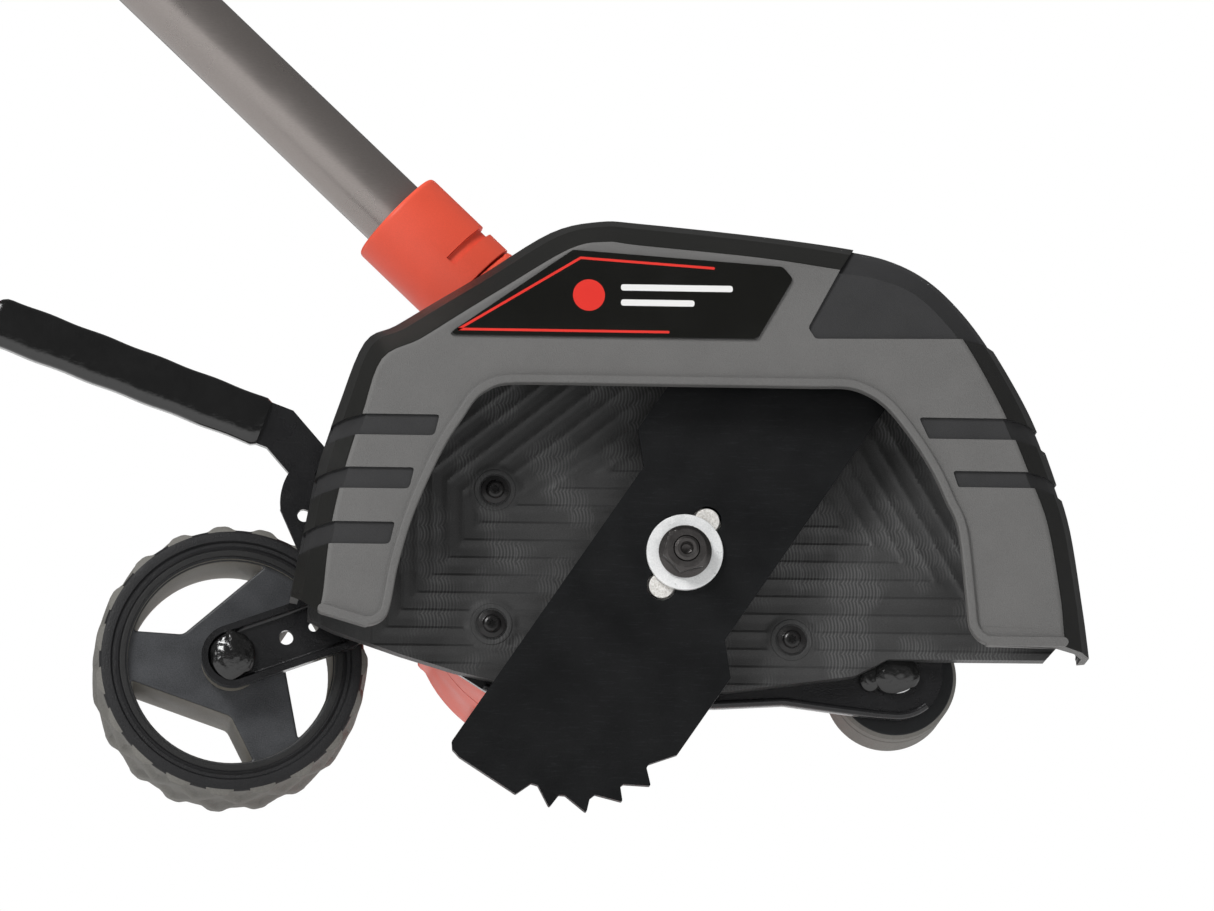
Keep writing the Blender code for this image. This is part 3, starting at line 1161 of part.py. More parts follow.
make_blade()
make_drive_stack()
make_gear_motor()
make_housing()
make_collar()
make_guard()
make_back_plate()
make_chassis_plate()
make_label()
make_lever()
make_wheel_arm()
make_rear_wheel()
make_roller()
make_tubes()
make_aux_clamp()
make_aux_handle()
make_rear_handle()
bpy.context.view_layer.update()
stand_on_base()
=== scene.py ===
import math

import bmesh
import bpy
from mathutils import Matrix, Vector, noise


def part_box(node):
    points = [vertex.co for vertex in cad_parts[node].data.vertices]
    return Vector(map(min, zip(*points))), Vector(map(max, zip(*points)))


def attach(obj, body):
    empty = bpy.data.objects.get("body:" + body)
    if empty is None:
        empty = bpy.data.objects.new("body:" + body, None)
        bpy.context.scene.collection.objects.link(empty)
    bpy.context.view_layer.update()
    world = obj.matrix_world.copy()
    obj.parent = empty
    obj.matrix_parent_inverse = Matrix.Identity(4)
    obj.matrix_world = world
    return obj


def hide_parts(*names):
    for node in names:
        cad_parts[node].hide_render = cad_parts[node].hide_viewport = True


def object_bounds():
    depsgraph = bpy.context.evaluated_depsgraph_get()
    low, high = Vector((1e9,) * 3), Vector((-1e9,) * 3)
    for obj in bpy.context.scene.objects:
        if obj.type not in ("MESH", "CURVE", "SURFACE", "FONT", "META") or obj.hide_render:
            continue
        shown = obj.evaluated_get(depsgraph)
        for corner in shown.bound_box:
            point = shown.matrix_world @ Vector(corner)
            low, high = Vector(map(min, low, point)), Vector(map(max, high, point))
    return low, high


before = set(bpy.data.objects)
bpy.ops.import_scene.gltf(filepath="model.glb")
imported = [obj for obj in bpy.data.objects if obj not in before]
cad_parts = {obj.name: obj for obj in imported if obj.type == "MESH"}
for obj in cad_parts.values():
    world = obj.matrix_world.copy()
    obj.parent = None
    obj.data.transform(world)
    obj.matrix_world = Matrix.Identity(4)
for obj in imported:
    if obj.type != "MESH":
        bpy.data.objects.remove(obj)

# The zero point of every shape below is the spindle's axis at the blade's front face, as in the CAD source:
# millimetres, X forward, Y away from the blade side, Z up.
MM = 0.001
CAD_LOW, CAD_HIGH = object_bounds()
GEAR_LOW, GEAR_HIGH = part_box("drive_gear")
ORIGIN = Vector(((GEAR_LOW.x + GEAR_HIGH.x) / 2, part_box("blade")[0].y, (GEAR_LOW.z + GEAR_HIGH.z) / 2))
TO_WORLD = Matrix.Translation(ORIGIN) @ Matrix.Scale(MM, 4)


def level(node, end):
    """The low (0) or high (1) Y of a CAD node, in millimetres from the zero point."""
    return (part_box(node)[end].y - ORIGIN.y) / MM


def span(node):
    return level(node, 0), level(node, 1)


def centre_xz(node):
    """A CAD node's middle in X and Z, in millimetres from the zero point."""
    low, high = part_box(node)
    return ((low.x + high.x) / 2 - ORIGIN.x) / MM, ((low.z + high.z) / 2 - ORIGIN.z) / MM


def at(spot):
    """An (x, z) spot as a 3-D point in the plane of the blade's front."""
    return spot[0], 0.0, spot[1]


SCREW_BORE_R = 2.3
SPINDLE_BORE_R = 4.2
AXLE_BORE_R = 5.3
PIVOT_BORE_R = 7.3
PIVOT = (-76.0, 4.0)
WHEEL = (-139.5, -29.5)
ROLLER = (68.6, -33.9)
DETENTS = ((-112.3, 27.1), (-117.8, 14.0))

# ---------------------------------------------------------------- outlines

def circle(cx, cz, r, count=64, start=0.0, turn=2 * math.pi):
    full = abs(turn - 2 * math.pi) < 1e-9
    steps = count if full else count - 1
    return [(cx + r * math.cos(start + turn * i / steps), cz + r * math.sin(start + turn * i / steps))
            for i in range(count)]


def smooth_line(points, parts):
    """Catmull-Rom points through an open list of equal-length tuples, parts to each span."""
    out = []
    last = len(points) - 1
    for i in range(last):
        p0, p1, p2, p3 = (points[max(0, min(last, i + k))] for k in (-1, 0, 1, 2))
        for step in range(parts):
            t = step / parts
            out.append(tuple(
                0.5 * (2 * b + (c - a) * t + (2 * a - 5 * b + 4 * c - d) * t * t
                       + (3 * b - a - 3 * c + d) * t ** 3)
                for a, b, c, d in zip(p0, p1, p2, p3)))
    out.append(tuple(points[-1]))
    return out


def soften(points, radii, steps=4):
    """A closed line of 2-D or 3-D points with an arc at each corner whose radius isn't 0."""
    out = []
    count = len(points)
    for i in range(count):
        here = Vector(points[i])
        if radii[i] <= 0.0:
            out.append(tuple(here))
            continue
        before = Vector(points[i - 1]) - here
        after = Vector(points[(i + 1) % count]) - here
        half = max(1e-3, before.angle(after) / 2)
        reach = min(radii[i] / math.tan(half), 0.46 * before.length, 0.46 * after.length)
        start = here + before.normalized() * reach
        end = here + after.normalized() * reach
        for k in range(steps + 1):
            t = k / steps
            out.append(tuple(start * (1 - t) ** 2 + here * 2 * t * (1 - t) + end * t * t))
    return out


def rounded(corners, steps=6):
    """A closed outline from (x, z, radius) corners."""
    return soften([c[:2] for c in corners], [c[2] for c in corners], steps)


def offset(outline, distance):
    """A closed outline moved outwards by distance."""
    area = sum(a[0] * b[1] - b[0] * a[1] for a, b in zip(outline, outline[1:] + outline[:1]))
    side = 1.0 if area > 0 else -1.0
    out = []
    for i, point in enumerate(outline):
        before = (Vector(point) - Vector(outline[i - 1])).normalized()
        after = (Vector(outline[(i + 1) % len(outline)]) - Vector(point)).normalized()
        normal = Vector((before.y + after.y, -before.x - after.x)).normalized()
        mitre = max(0.35, normal.dot(Vector((after.y, -after.x))))
        out.append(tuple(Vector(point) + normal * (side * distance / mitre)))
    return out


def inward(points, distance):
    """An open line of XZ points moved towards the guard's middle."""
    out = []
    last = len(points) - 1
    for i, (x, z) in enumerate(points):
        ahead = Vector(points[min(last, i + 1)]) - Vector(points[max(0, i - 1)])
        normal = Vector((ahead.y, -ahead.x)).normalized()
        out.append((x + normal.x * distance, z + normal.y * distance))
    return out


def stroke(line, width, cap=14):
    """The outline of a bar of even width along a bent centre line, with round ends."""
    r = width / 2
    points = [Vector(p) for p in line]
    left, right = [], []
    for before_p, here, after_p in zip(points, points[1:], points[2:]):
        before = (here - before_p).normalized()
        after = (after_p - here).normalized()
        normal = Vector((-before.y - after.y, before.x + after.x)).normalized()
        reach = r / normal.dot(Vector((-after.y, after.x)))
        left.append(tuple(here + normal * reach))
        right.append(tuple(here - normal * reach))
    ends = []
    for end, inner in ((points[0], points[1]), (points[-1], points[-2])):
        away = (end - inner).normalized()
        ends.append(circle(end.x, end.y, r, cap, math.atan2(away.y, away.x) - math.pi / 2, math.pi))
    return ends[0] + right + ends[1] + left[::-1]


def belt(c0, r0, c1, r1):
    """The outline of two discs wrapped by a belt; disc 1 is the larger or equal one."""
    line = Vector(c1) - Vector(c0)
    heading = math.atan2(line.y, line.x)
    lean = math.acos((r0 - r1) / line.length)
    near = circle(*c0, r0, 40, heading + lean, 2 * (math.pi - lean))
    return near + circle(*c1, r1, 40, heading - lean, 2 * lean)


# ---------------------------------------------------------------- meshes

def prism(outline, y0, y1, holes=()):
    bm = bmesh.new()
    edges = []
    for loop in (outline, *holes):
        verts = [bm.verts.new((x, y0, z)) for x, z in loop]
        edges += [bm.edges.new((verts[i - 1], verts[i])) for i in range(len(verts))]
    bmesh.ops.triangle_fill(bm, use_beauty=True, use_dissolve=False, edges=edges)
    grown = bmesh.ops.extrude_face_region(bm, geom=list(bm.faces))
    moved = [item for item in grown["geom"] if isinstance(item, bmesh.types.BMVert)]
    bmesh.ops.translate(bm, verts=moved, vec=(0.0, y1 - y0, 0.0))
    return bm


def soft_prism(outline, y0, y1, radius, holes=(), steps=5, both=False):
    """A plate whose y1 face (and y0 face, if both) has a round edge."""
    side = 1.0 if y1 > y0 else -1.0
    turns = [math.pi / 2 * k / steps for k in range(steps + 1)]
    high = [(y1 - side * radius * (1 - math.sin(t)), radius * (1 - math.cos(t))) for t in turns]
    low = [(y0 + side * radius * (1 - math.sin(t)), radius * (1 - math.cos(t))) for t in turns]
    levels = (low[::-1] if both else [(y0, 0.0)]) + high
    bm = bmesh.new()
    ends = ([], [])
    for sign, loop in [(-1.0, outline)] + [(1.0, hole) for hole in holes]:
        rows = []
        for y, inset in levels:
            line = offset(loop, sign * inset) if inset else loop
            rows.append([bm.verts.new((x, y, z)) for x, z in line])
        for near, far in zip(rows, rows[1:]):
            for i in range(len(near)):
                bm.faces.new((near[i - 1], near[i], far[i], far[i - 1]))
        for end, row in zip(ends, (rows[0], rows[-1])):
            end += [bm.edges.get((row[i - 1], row[i])) for i in range(len(row))]
    for end in ends:
        bmesh.ops.triangle_fill(bm, use_beauty=True, use_dissolve=False, edges=end)
    return bm


def loft(rows, closed_rows=True, caps=True):
    """Faces between equal rows of 3-D points; caps close the two ends."""
    bm = bmesh.new()
    grid = [[bm.verts.new(p) for p in row] for row in rows]
    for low, high in zip(grid, grid[1:]):
        for i in range(0 if closed_rows else 1, len(low)):
            bm.faces.new((low[i - 1], low[i], high[i], high[i - 1]))
    if caps:
        for row in (grid[0], grid[-1]):
            bm.faces.new(row)
    return bm


def lathe(profile, base=(0.0, 0.0, 0.0), axis=(0.0, 1.0, 0.0), sides=96, radius_at=None):
    """A closed line of (along, radius) turned about an axis; radius_at may change a radius by angle."""
    bm = bmesh.new()
    place = Matrix.Translation(Vector(base)) @ Vector(axis).to_track_quat("Z", "Y").to_matrix().to_4x4()
    rows = []
    for along, r in profile:
        if r < 1e-6:
            rows.append([bm.verts.new(place @ Vector((0.0, 0.0, along)))])
            continue
        row = []
        for i in range(sides):
            angle = 2 * math.pi * i / sides
            reach = radius_at(along, r, angle) if radius_at else r
            row.append(bm.verts.new(place @ Vector((reach * math.cos(angle), reach * math.sin(angle),
                                                    along))))
        rows.append(row)
    for low, high in zip(rows, rows[1:] + rows[:1]):
        if len(low) == len(high) == 1:
            continue
        for i in range(sides):
            bm.faces.new(dict.fromkeys((low[i % len(low)], low[(i + 1) % len(low)],
                                        high[(i + 1) % len(high)], high[i % len(high)])))
    return bm


def ring(y0, y1, outer, inner, edge=0.4, **where):
    loop = [(y0, inner), (y0, outer), (y1, outer), (y1, inner)]
    return lathe(soften(loop, [edge / 2, edge, edge, edge / 2], 3), **where)


def rod(y0, y1, r, edge=0.4, **where):
    return lathe(soften([(y0, 0.0), (y0, r), (y1, r), (y1, 0.0)], [0, edge, edge, 0], 3), **where)


def bar(path, radius, around=20, caps=True):
    """A round bar along a line of 3-D points."""
    rows = []
    points = [Vector(p) for p in path]
    side = None
    for i, here in enumerate(points):
        ahead = (points[min(i + 1, len(points) - 1)] - points[max(i - 1, 0)]).normalized()
        if side is None:
            side = ahead.orthogonal().normalized()
        side = (side - ahead * side.dot(ahead)).normalized()
        up = ahead.cross(side)
        rows.append([here + side * (radius * math.cos(2 * math.pi * k / around))
                     + up * (radius * math.sin(2 * math.pi * k / around)) for k in range(around)])
    return loft(rows, caps=caps)


def blob(centre, size, seed, rough=0.16):
    """A lump of weld metal."""
    bm = bmesh.new()
    bmesh.ops.create_icosphere(bm, subdivisions=5, radius=1.0)
    for vert in bm.verts:
        lump = noise.noise(vert.co * 1.1 + Vector((seed, 0, 0))) + 0.7 * abs(noise.noise(vert.co * 1.8))
        vert.co *= 1.0 + rough * lump
    bm.transform(Matrix.Translation(Vector(centre)) @ Matrix.Diagonal((*size, 1.0)))
    return bm


def merged(*meshes):
    """Several closed meshes as one, each a solid of its own."""
    bm = bmesh.new()
    for part in meshes:
        bmesh.ops.recalc_face_normals(part, faces=part.faces)
        mesh = bpy.data.meshes.new("part")
        part.to_mesh(mesh)
        part.free()
        bm.from_mesh(mesh)
        bpy.data.meshes.remove(mesh)
    return bm


def made(name, bm, *finishes):
    """An object from a mesh in millimetres, not yet hooked to a body."""
    bmesh.ops.recalc_face_normals(bm, faces=bm.faces)
    bm.transform(TO_WORLD)
    mesh = bpy.data.meshes.new(name)
    bm.to_mesh(mesh)
    bm.free()
    for finish in finishes:
        mesh.materials.append(finish)
    obj = bpy.data.objects.new(name, mesh)
    bpy.context.scene.collection.objects.link(obj)
    return obj


def settle(obj):
    """Replaces an object's mesh by the one its modifiers give."""
    graph = bpy.context.evaluated_depsgraph_get()
    obj.data = bpy.data.meshes.new_from_object(obj.evaluated_get(graph))
    obj.modifiers.clear()


def boolean(target, tool, operation="DIFFERENCE"):
    step = target.modifiers.new("boolean", "BOOLEAN")
    step.operation = operation
    step.object = tool
    step.solver = "EXACT"
    step.material_mode = "TRANSFER"
    settle(target)
    bpy.data.objects.remove(tool, do_unlink=True)


def show(obj, body, nodes=(), bevel=0.0, segments=3, sharp=32.0):
    """Puts a finished piece into the model: the body it rides on and the CAD nodes it stands for."""
    if bevel:
        step = obj.modifiers.new("edges", "BEVEL")
        step.width = bevel * MM
        step.segments = segments
        step.limit_method = "ANGLE"
        step.angle_limit = math.radians(35)
        settle(obj)
    obj.data.shade_smooth()
    obj.data.set_sharp_from_angle(angle=math.radians(sharp))
    flat = obj.modifiers.new("flat", "WEIGHTED_NORMAL")
    flat.keep_sharp = True
    settle(obj)
    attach(obj, body)
    if nodes:
        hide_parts(*nodes)
    return obj


def piece(name, bm, finish, body, nodes=(), bevel=0.0, segments=3, sharp=32.0):
    return show(made(name, bm, finish), body, nodes, bevel, segments, sharp)


# ---------------------------------------------------------------- materials

def shade(colour, factor):
    return tuple(min(1.0, c * factor) for c in colour) + (1.0,)


def surface(name, colour, roughness, metallic=0.0, grain=0.3, bump=0.15, mottle=0.12, patch=14.0, coat=0.0,
            marks=0.0, stretch=(1.0, 1.0, 1.0), turn=0.0, swirls=0.0, gloss=0.32):
    """A Principled material. grain and patch are sizes in millimetres; mottle is the colour's variation,
    marks the strength of fine light scratches, swirls that of curved tool marks; stretch and turn lay the
    grain; gloss is the specular level."""
    mat = bpy.data.materials.new(name)
    mat.use_nodes = True
    nodes, links = mat.node_tree.nodes, mat.node_tree.links
    shader = nodes["Principled BSDF"]
    shader.inputs["Metallic"].default_value = metallic
    shader.inputs["Coat Weight"].default_value = coat
    shader.inputs["Coat Roughness"].default_value = 0.12
    shader.inputs["Specular IOR Level"].default_value = gloss
    where = nodes.new("ShaderNodeTexCoord").outputs["Object"]
    lay = nodes.new("ShaderNodeMapping")
    lay.inputs["Scale"].default_value = stretch
    lay.inputs["Rotation"].default_value = (0.0, turn, 0.0)
    links.new(where, lay.inputs["Vector"])

    def noise_at(size, detail=4.0, vector=None):
        tex = nodes.new("ShaderNodeTexNoise")
        tex.inputs["Scale"].default_value = 1.0 / (size * MM)
        tex.inputs["Detail"].default_value = detail
        links.new(vector or where, tex.inputs["Vector"])
        return tex.outputs["Fac"]

    def ramp(factor, *stops):
        node = nodes.new("ShaderNodeValToRGB")
        while len(node.color_ramp.elements) < len(stops):
            node.color_ramp.elements.new(0.5)
        for element, (place, value) in zip(node.color_ramp.elements, stops):
            element.position = place
            element.color = value
        links.new(factor, node.inputs["Fac"])
        return node.outputs["Color"]

    def mix(factor, a, b, kind="MIX"):
        node = nodes.new("ShaderNodeMix")
        node.data_type = "RGBA"
        node.blend_type = kind
        links.new(factor, node.inputs["Factor"])
        links.new(a, node.inputs["A"])
        links.new(b, node.inputs["B"])
        return node.outputs["Result"]

    def grey(value):
        return (value, value, value, 1.0)

    patches = noise_at(patch, 5.0)
    fine = noise_at(grain, 3.0, lay.outputs["Vector"])
    tone = ramp(patches, (0.3, shade(colour, 1 - mottle)), (0.7, shade(colour, 1 + mottle)))
    speck = ramp(fine, (0.3, shade(colour, 1 - mottle * 1.6)), (0.7, shade(colour, 1 + mottle * 1.6)))
    half = ramp(fine, (0.0, grey(0.45)), (1.0, grey(0.55)))
    tone = mix(half, tone, speck)
    rough = ramp(patches, (0.25, grey(max(0.04, roughness - 0.07))), (0.75, grey(min(1.0, roughness + 0.07))))
    height = fine
    if marks:
        thin = nodes.new("ShaderNodeMapping")
        thin.inputs["Scale"].default_value = (1.0, 1.0, 14.0)
        thin.inputs["Rotation"].default_value = (0.3, 0.8, 0.4)
        links.new(where, thin.inputs["Vector"])
        lines = noise_at(9.0, 2.0, thin.outputs["Vector"])
        edge = ramp(lines, (0.60, grey(0.0)), (0.635, grey(marks)), (0.65, grey(0.0)))
        tone = mix(edge, tone, ramp(patches, (0.0, shade(colour, 3.0)), (1.0, shade(colour, 6.0))))
    if swirls:
        cell = nodes.new("ShaderNodeVectorMath")
        cell.operation = "WRAP"
        cell.inputs[1].default_value = (9.0 * MM, 1.0, 2.6 * MM)
        cell.inputs[2].default_value = (3.0 * MM, -1.0, -3.0 * MM)
        links.new(where, cell.inputs[0])
        rings = nodes.new("ShaderNodeTexWave")
        rings.wave_type = "RINGS"
        rings.rings_direction = "Y"
        rings.wave_profile = "SAW"
        rings.inputs["Scale"].default_value = 0.3 / MM
        rings.inputs["Distortion"].default_value = 0.6
        links.new(cell.outputs["Vector"], rings.inputs["Vector"])
        line = ramp(rings.outputs["Fac"], (0.0, grey(0.0)), (0.3, grey(swirls)), (0.7, grey(0.0)))
        worn = ramp(noise_at(16.0, 2.0), (0.46, grey(0.0)), (0.62, grey(1.0)))
        line = mix(worn, ramp(patches, (0.0, grey(0.0)), (1.0, grey(0.0))), line)
        tone = mix(line, tone, ramp(patches, (0.0, shade(colour, 3.0)), (1.0, shade(colour, 4.5))))
    links.new(tone, shader.inputs["Base Color"])
    links.new(rough, shader.inputs["Roughness"])
    lift = nodes.new("ShaderNodeBump")
    lift.inputs["Strength"].default_value = bump
    lift.inputs["Distance"].default_value = grain * MM
    links.new(height, lift.inputs["Height"])
    links.new(lift.outputs["Normal"], shader.inputs["Normal"])
    return mat


TUBE_RISE = 43.8
RISE = math.radians(TUBE_RISE)
FACE_GREY = surface("guard_face_grey", (0.135, 0.133, 0.130), 0.52, grain=0.35, bump=0.55, mottle=0.10)
SHOULDER_BLACK = surface("guard_shoulder_black", (0.011, 0.011, 0.010), 0.36, grain=0.3, bump=0.25,
                         mottle=0.2)
STRIP_DARK = surface("strip_dark", (0.030, 0.030, 0.031), 0.50, grain=0.25, bump=0.3, mottle=0.15)
PLATE_BLACK = surface("plate_black", (0.042, 0.042, 0.042), 0.44, grain=0.3, bump=0.3, mottle=0.30,
                      patch=30.0, swirls=0.5)
LABEL_GLOSS = surface("label_gloss", (0.0045, 0.0045, 0.0035), 0.20, grain=0.2, bump=0.02, mottle=0.1,
                      coat=0.6)
LABEL_RED = surface("label_red", (0.72, 0.035, 0.025), 0.35, grain=0.2, bump=0.02, mottle=0.05)
LABEL_PALE = surface("label_pale", (0.80, 0.80, 0.79), 0.35, grain=0.2, bump=0.02, mottle=0.03)
RED_PLASTIC = surface("red_plastic", (0.80, 0.100, 0.055), 0.40, grain=0.3, bump=0.12, mottle=0.06)
BLACK_PLASTIC = surface("black_plastic", (0.016, 0.016, 0.016), 0.48, grain=0.35, bump=0.35, mottle=0.2)
DARK_GREY = surface("dark_grey_plastic", (0.014, 0.015, 0.016), 0.46, grain=0.3, bump=0.3, mottle=0.12)
BLADE_STEEL = surface("blade_steel", (0.0050, 0.0054, 0.0060), 0.38, metallic=0.2, grain=0.4, bump=0.12,
                      mottle=0.25, marks=0.35)
BLACK_STEEL = surface("black_steel", (0.012, 0.012, 0.013), 0.27, metallic=0.3, grain=0.5, bump=0.25,
                      mottle=0.25, marks=0.12, coat=0.6)
WELD = surface("weld_metal", (0.012, 0.012, 0.012), 0.14, metallic=0.3, grain=1.6, bump=0.25, mottle=0.3,
               coat=1.0)
# Near-white base with little metal: partly the zinc plating's own pale silver, partly a painted reflection of
# bright surroundings.
ZINC_AND_PAINTED_SHEEN = surface("zinc_plate_painted_sheen", (0.90, 0.92, 0.92), 0.30, metallic=0.20, grain=0.5, bump=0.10, mottle=0.12,
               patch=5.0, marks=0.10)
NUT_STEEL = surface("nut_steel", (0.085, 0.080, 0.078), 0.34, metallic=0.8, grain=0.3, bump=0.2, mottle=0.25,
                    patch=4.0)
SCREW_BLACK = surface("screw_black", (0.022, 0.021, 0.021), 0.30, metallic=0.5, grain=0.3, bump=0.15,
                      mottle=0.25, patch=3.0, coat=0.3)
LUG_STEEL = surface("lug_steel", (0.76, 0.73, 0.68), 0.35, metallic=0.2, grain=0.5, bump=0.35, mottle=0.3,
                    patch=3.0)
GEAR_STEEL = surface("gear_steel", (0.32, 0.31, 0.30), 0.35, metallic=1.0, grain=0.4, bump=0.15)
CAST = surface("cast_alloy", (0.42, 0.42, 0.43), 0.5, metallic=0.9, grain=0.8, bump=0.4)
COPPER = surface("copper_winding", (0.42, 0.17, 0.07), 0.4, metallic=0.9, grain=0.5, bump=0.5)
TUBE_METAL = surface("tube_aluminium", (0.300, 0.272, 0.258), 0.30, metallic=0.75, grain=0.25, bump=0.06,
                     mottle=0.07, patch=30.0, stretch=(0.04, 1.0, 1.0), turn=RISE)
TYRE = surface("tyre_rubber", (0.013, 0.013, 0.014), 0.50, grain=0.5, bump=0.4, mottle=0.2)
TREAD_DUST = surface("tread_dusty", (0.165, 0.160, 0.146), 0.66, grain=0.6, bump=0.4, mottle=0.12)
GRIP_RUBBER = surface("grip_rubber", (0.018, 0.018, 0.018), 0.72, grain=0.5, bump=0.5, mottle=0.2)
VINYL = surface("dipped_vinyl", (0.006, 0.006, 0.006), 0.18, grain=2.5, bump=0.12, mottle=0.2, coat=1.0)
# Painted light: the wheel's sideways-facing surfaces (spoke sides, barrel, hub) get this paler copy of the
# rim's dark finish.
SPOKE_SIDE_PAINTED_LIGHT = surface("wheel_side_painted_light", (0.200, 0.185, 0.155), 0.50, grain=0.4, bump=0.3, mottle=0.15)
WHEEL_DARK = surface("wheel_face_dark", (0.050, 0.052, 0.056), 0.36, grain=0.4, bump=0.25, mottle=0.35,
                     patch=9.0)

# ---------------------------------------------------------------- guard

GUARD_FRONT, GUARD_REAR = -14.0, 20.0
GUARD_LIP = 1.5
GUARD_SHOULDER, GUARD_BEND = -3.0, 8.0
GUARD_WALL = 2.5
LIP_W = 2.8
# From the rear leg over the top to the front leg: a point of the mouth's edge, the face's edge and the rear
# rim, each as X and Z.
GUARD_STATIONS = (
    (-96.0, -28.0, -114.6, -22.6, -122.3, -14.0), (-92.8, -21.3, -113.3, -17.0, -121.3, -8.0),
    (-90.2, -7.9, -112.2, -6.0, -119.5, 1.0), (-86.2, 6.2, -110.5, 6.4, -117.4, 11.0),
    (-80.9, 19.5, -106.6, 23.1, -113.8, 28.0), (-75.0, 31.6, -101.3, 40.1, -107.6, 47.0),
    (-70.1, 39.2, -95.4, 57.4, -99.7, 67.0), (-66.4, 44.9, -83.6, 63.9, -90.0, 72.5),
    (-62.7, 48.0, -72.0, 71.4, -77.0, 80.6), (-56.5, 50.2, -58.0, 80.3, -62.0, 89.8),
    (-40.0, 50.5, -37.0, 93.2, -41.3, 103.0), (-28.0, 50.5, -25.4, 95.7, -26.0, 106.8),
    (-15.0, 50.5, -15.0, 94.7, -12.3, 106.3), (22.0, 50.5, 22.6, 91.4, 25.3, 102.8),
    (40.0, 50.5, 46.8, 88.1, 53.4, 99.2), (49.3, 50.5, 58.9, 86.5, 67.0, 96.0),
    (54.8, 49.1, 70.9, 82.0, 78.0, 90.3), (60.2, 46.0, 80.0, 74.0, 87.6, 81.5),
    (65.0, 41.2, 87.8, 63.9, 96.5, 70.0), (71.1, 32.9, 96.9, 47.4, 106.0, 54.0),
    (76.5, 24.0, 101.5, 37.0, 112.0, 41.5), (80.6, 15.0, 107.0, 23.0, 117.6, 26.0),
    (84.4, 5.6, 112.3, 8.1, 122.2, 10.0), (86.7, -16.0, 116.0, -14.0, 125.8, -14.0),
    (87.9, -25.2, 117.0, -25.0, 127.2, -25.0), (92.4, -30.4, 117.6, -30.4, 127.8, -30.4))
LEG_CORNER_RADII = (6.5, 3.0)
DENSE_SPANS, DENSE_PARTS = 5, 4


def denser_ends(rows):
    """The rows with extra ones near both ends, where the legs' corners are round."""
    out = []
    for i, (here, after) in enumerate(zip(rows, rows[1:])):
        parts = DENSE_PARTS if i < DENSE_SPANS or i > len(rows) - DENSE_SPANS - 2 else 1
        out += [tuple(a + (b - a) * k / parts for a, b in zip(here, after)) for k in range(parts)]
    return out + [rows[-1]]


def round_ends(mouth, face):
    """The mouth's edge, turned round each leg's lower corner."""
    out = list(mouth)
    for end, step, radius in ((0, 1, LEG_CORNER_RADII[0]), (-1, -1, LEG_CORNER_RADII[1])):
        for k in range(len(mouth) // 3):
            j = end + step * k
            here = Vector(mouth[j])
            left = radius - (here - Vector(mouth[end])).length
            if left > 0.0:
                shift = radius - math.sqrt(radius ** 2 - left ** 2)
                out[j] = tuple(here + (Vector(face[j]) - here).normalized() * shift)
    return out


STATIONS = denser_ends(smooth_line(GUARD_STATIONS, 5))
MOUTH, FACE, REAR = ([s[k:k + 2] for s in STATIONS] for k in (0, 2, 4))
MOUTH = round_ends(MOUTH, FACE)
PLATE_RIM = inward(REAR, GUARD_WALL + 0.3)[27:-23]   # the guard's inside, above its straight leg ends
SHOULDER = [(f[0] * 0.35 + r[0] * 0.65, f[1] * 0.35 + r[1] * 0.65) for f, r in zip(FACE, REAR)]
STRIP_DEPTH = 0.9


def lines_to_rows(lines, radii):
    """(XZ line, Y) pairs as one closed section for each station, its corners rounded."""
    rows = []
    for j in range(len(MOUTH)):
        rows.append(soften([(line[j][0], y, line[j][1]) for line, y in lines], radii, 3))
    return rows


def guard():
    inner = GUARD_FRONT + GUARD_WALL
    lip = inward(MOUTH, -LIP_W)
    lines = [(MOUTH, inner), (MOUTH, GUARD_FRONT - GUARD_LIP), (lip, GUARD_FRONT - GUARD_LIP),
             (lip, GUARD_FRONT), (FACE, GUARD_FRONT), (SHOULDER, GUARD_SHOULDER), (REAR, GUARD_BEND),
             (REAR, GUARD_REAR), (inward(REAR, GUARD_WALL), GUARD_REAR),
             (inward(REAR, GUARD_WALL), GUARD_BEND + 0.5), (inward(SHOULDER, GUARD_WALL),
                                                            GUARD_SHOULDER + 1),
             (inward(FACE, GUARD_WALL), inner)]
    radii = [0, 0.7, 0.7, 0.4, 2.2, 3.0, 2.5, 0.5, 0, 0, 0, 0]
    bm = loft(lines_to_rows(lines, radii))
    black_from = 1 + 4 * 4 - 1
    bm.verts.index_update()
    row_len = len(bm.verts) // len(MOUTH)
    for face in bm.faces:
        spots = [v.index % row_len for v in face.verts]
        if len(spots) == 4 and min(spots) >= black_from - 1:
            face.material_index = 1
    body = made("guard_shell", bm, FACE_GREY, SHOULDER_BLACK, STRIP_DARK)
    boolean(body, guard_recesses())
    show(body, "head", ["blade_guard"], sharp=40)


def leg_lips():
    """The raised edge along the lower end of each leg, and the rolled edge of its side."""
    for name, end, side in (("rear", 0, 1.6), ("front", -1, -1.7)):
        corner, foot = Vector(FACE[end]), Vector(MOUTH[end])
        along = (corner - foot).normalized()
        up = Vector((-along.y, along.x)) * math.copysign(1.0, -side)
        line = [tuple(foot + up * LIP_W / 2 - along * 1.6), tuple(corner + up * LIP_W / 2 - along * 0.6)]
        piece(f"leg_lip_face_{name}", prism(stroke(line, LIP_W), GUARD_FRONT - GUARD_LIP + 0.04,
                                            GUARD_FRONT + 2.6), FACE_GREY, "head", bevel=0.55)
        web = [foot - along * 1.2 + up * 0.3, foot - along * 1.2 + up * 4.5, corner + up * 2.0,
               corner + up * 0.3]
        piece(f"leg_web_{name}", prism([tuple(p) for p in web], GUARD_FRONT + 0.05, GUARD_FRONT + 2.4),
              FACE_GREY, "head")
        route = [(FACE[end], GUARD_FRONT), (SHOULDER[end], GUARD_SHOULDER + 0.5), (REAR[end], GUARD_BEND),
                 (REAR[end], GUARD_REAR - 1.5)]
        path = [Vector((x + side, y + 0.6, z + 1.6)) for (x, z), y in route]
        piece(f"leg_lip_side_{name}", bar(smooth_line(path, 6), 1.3, 14), SHOULDER_BLACK, "head")


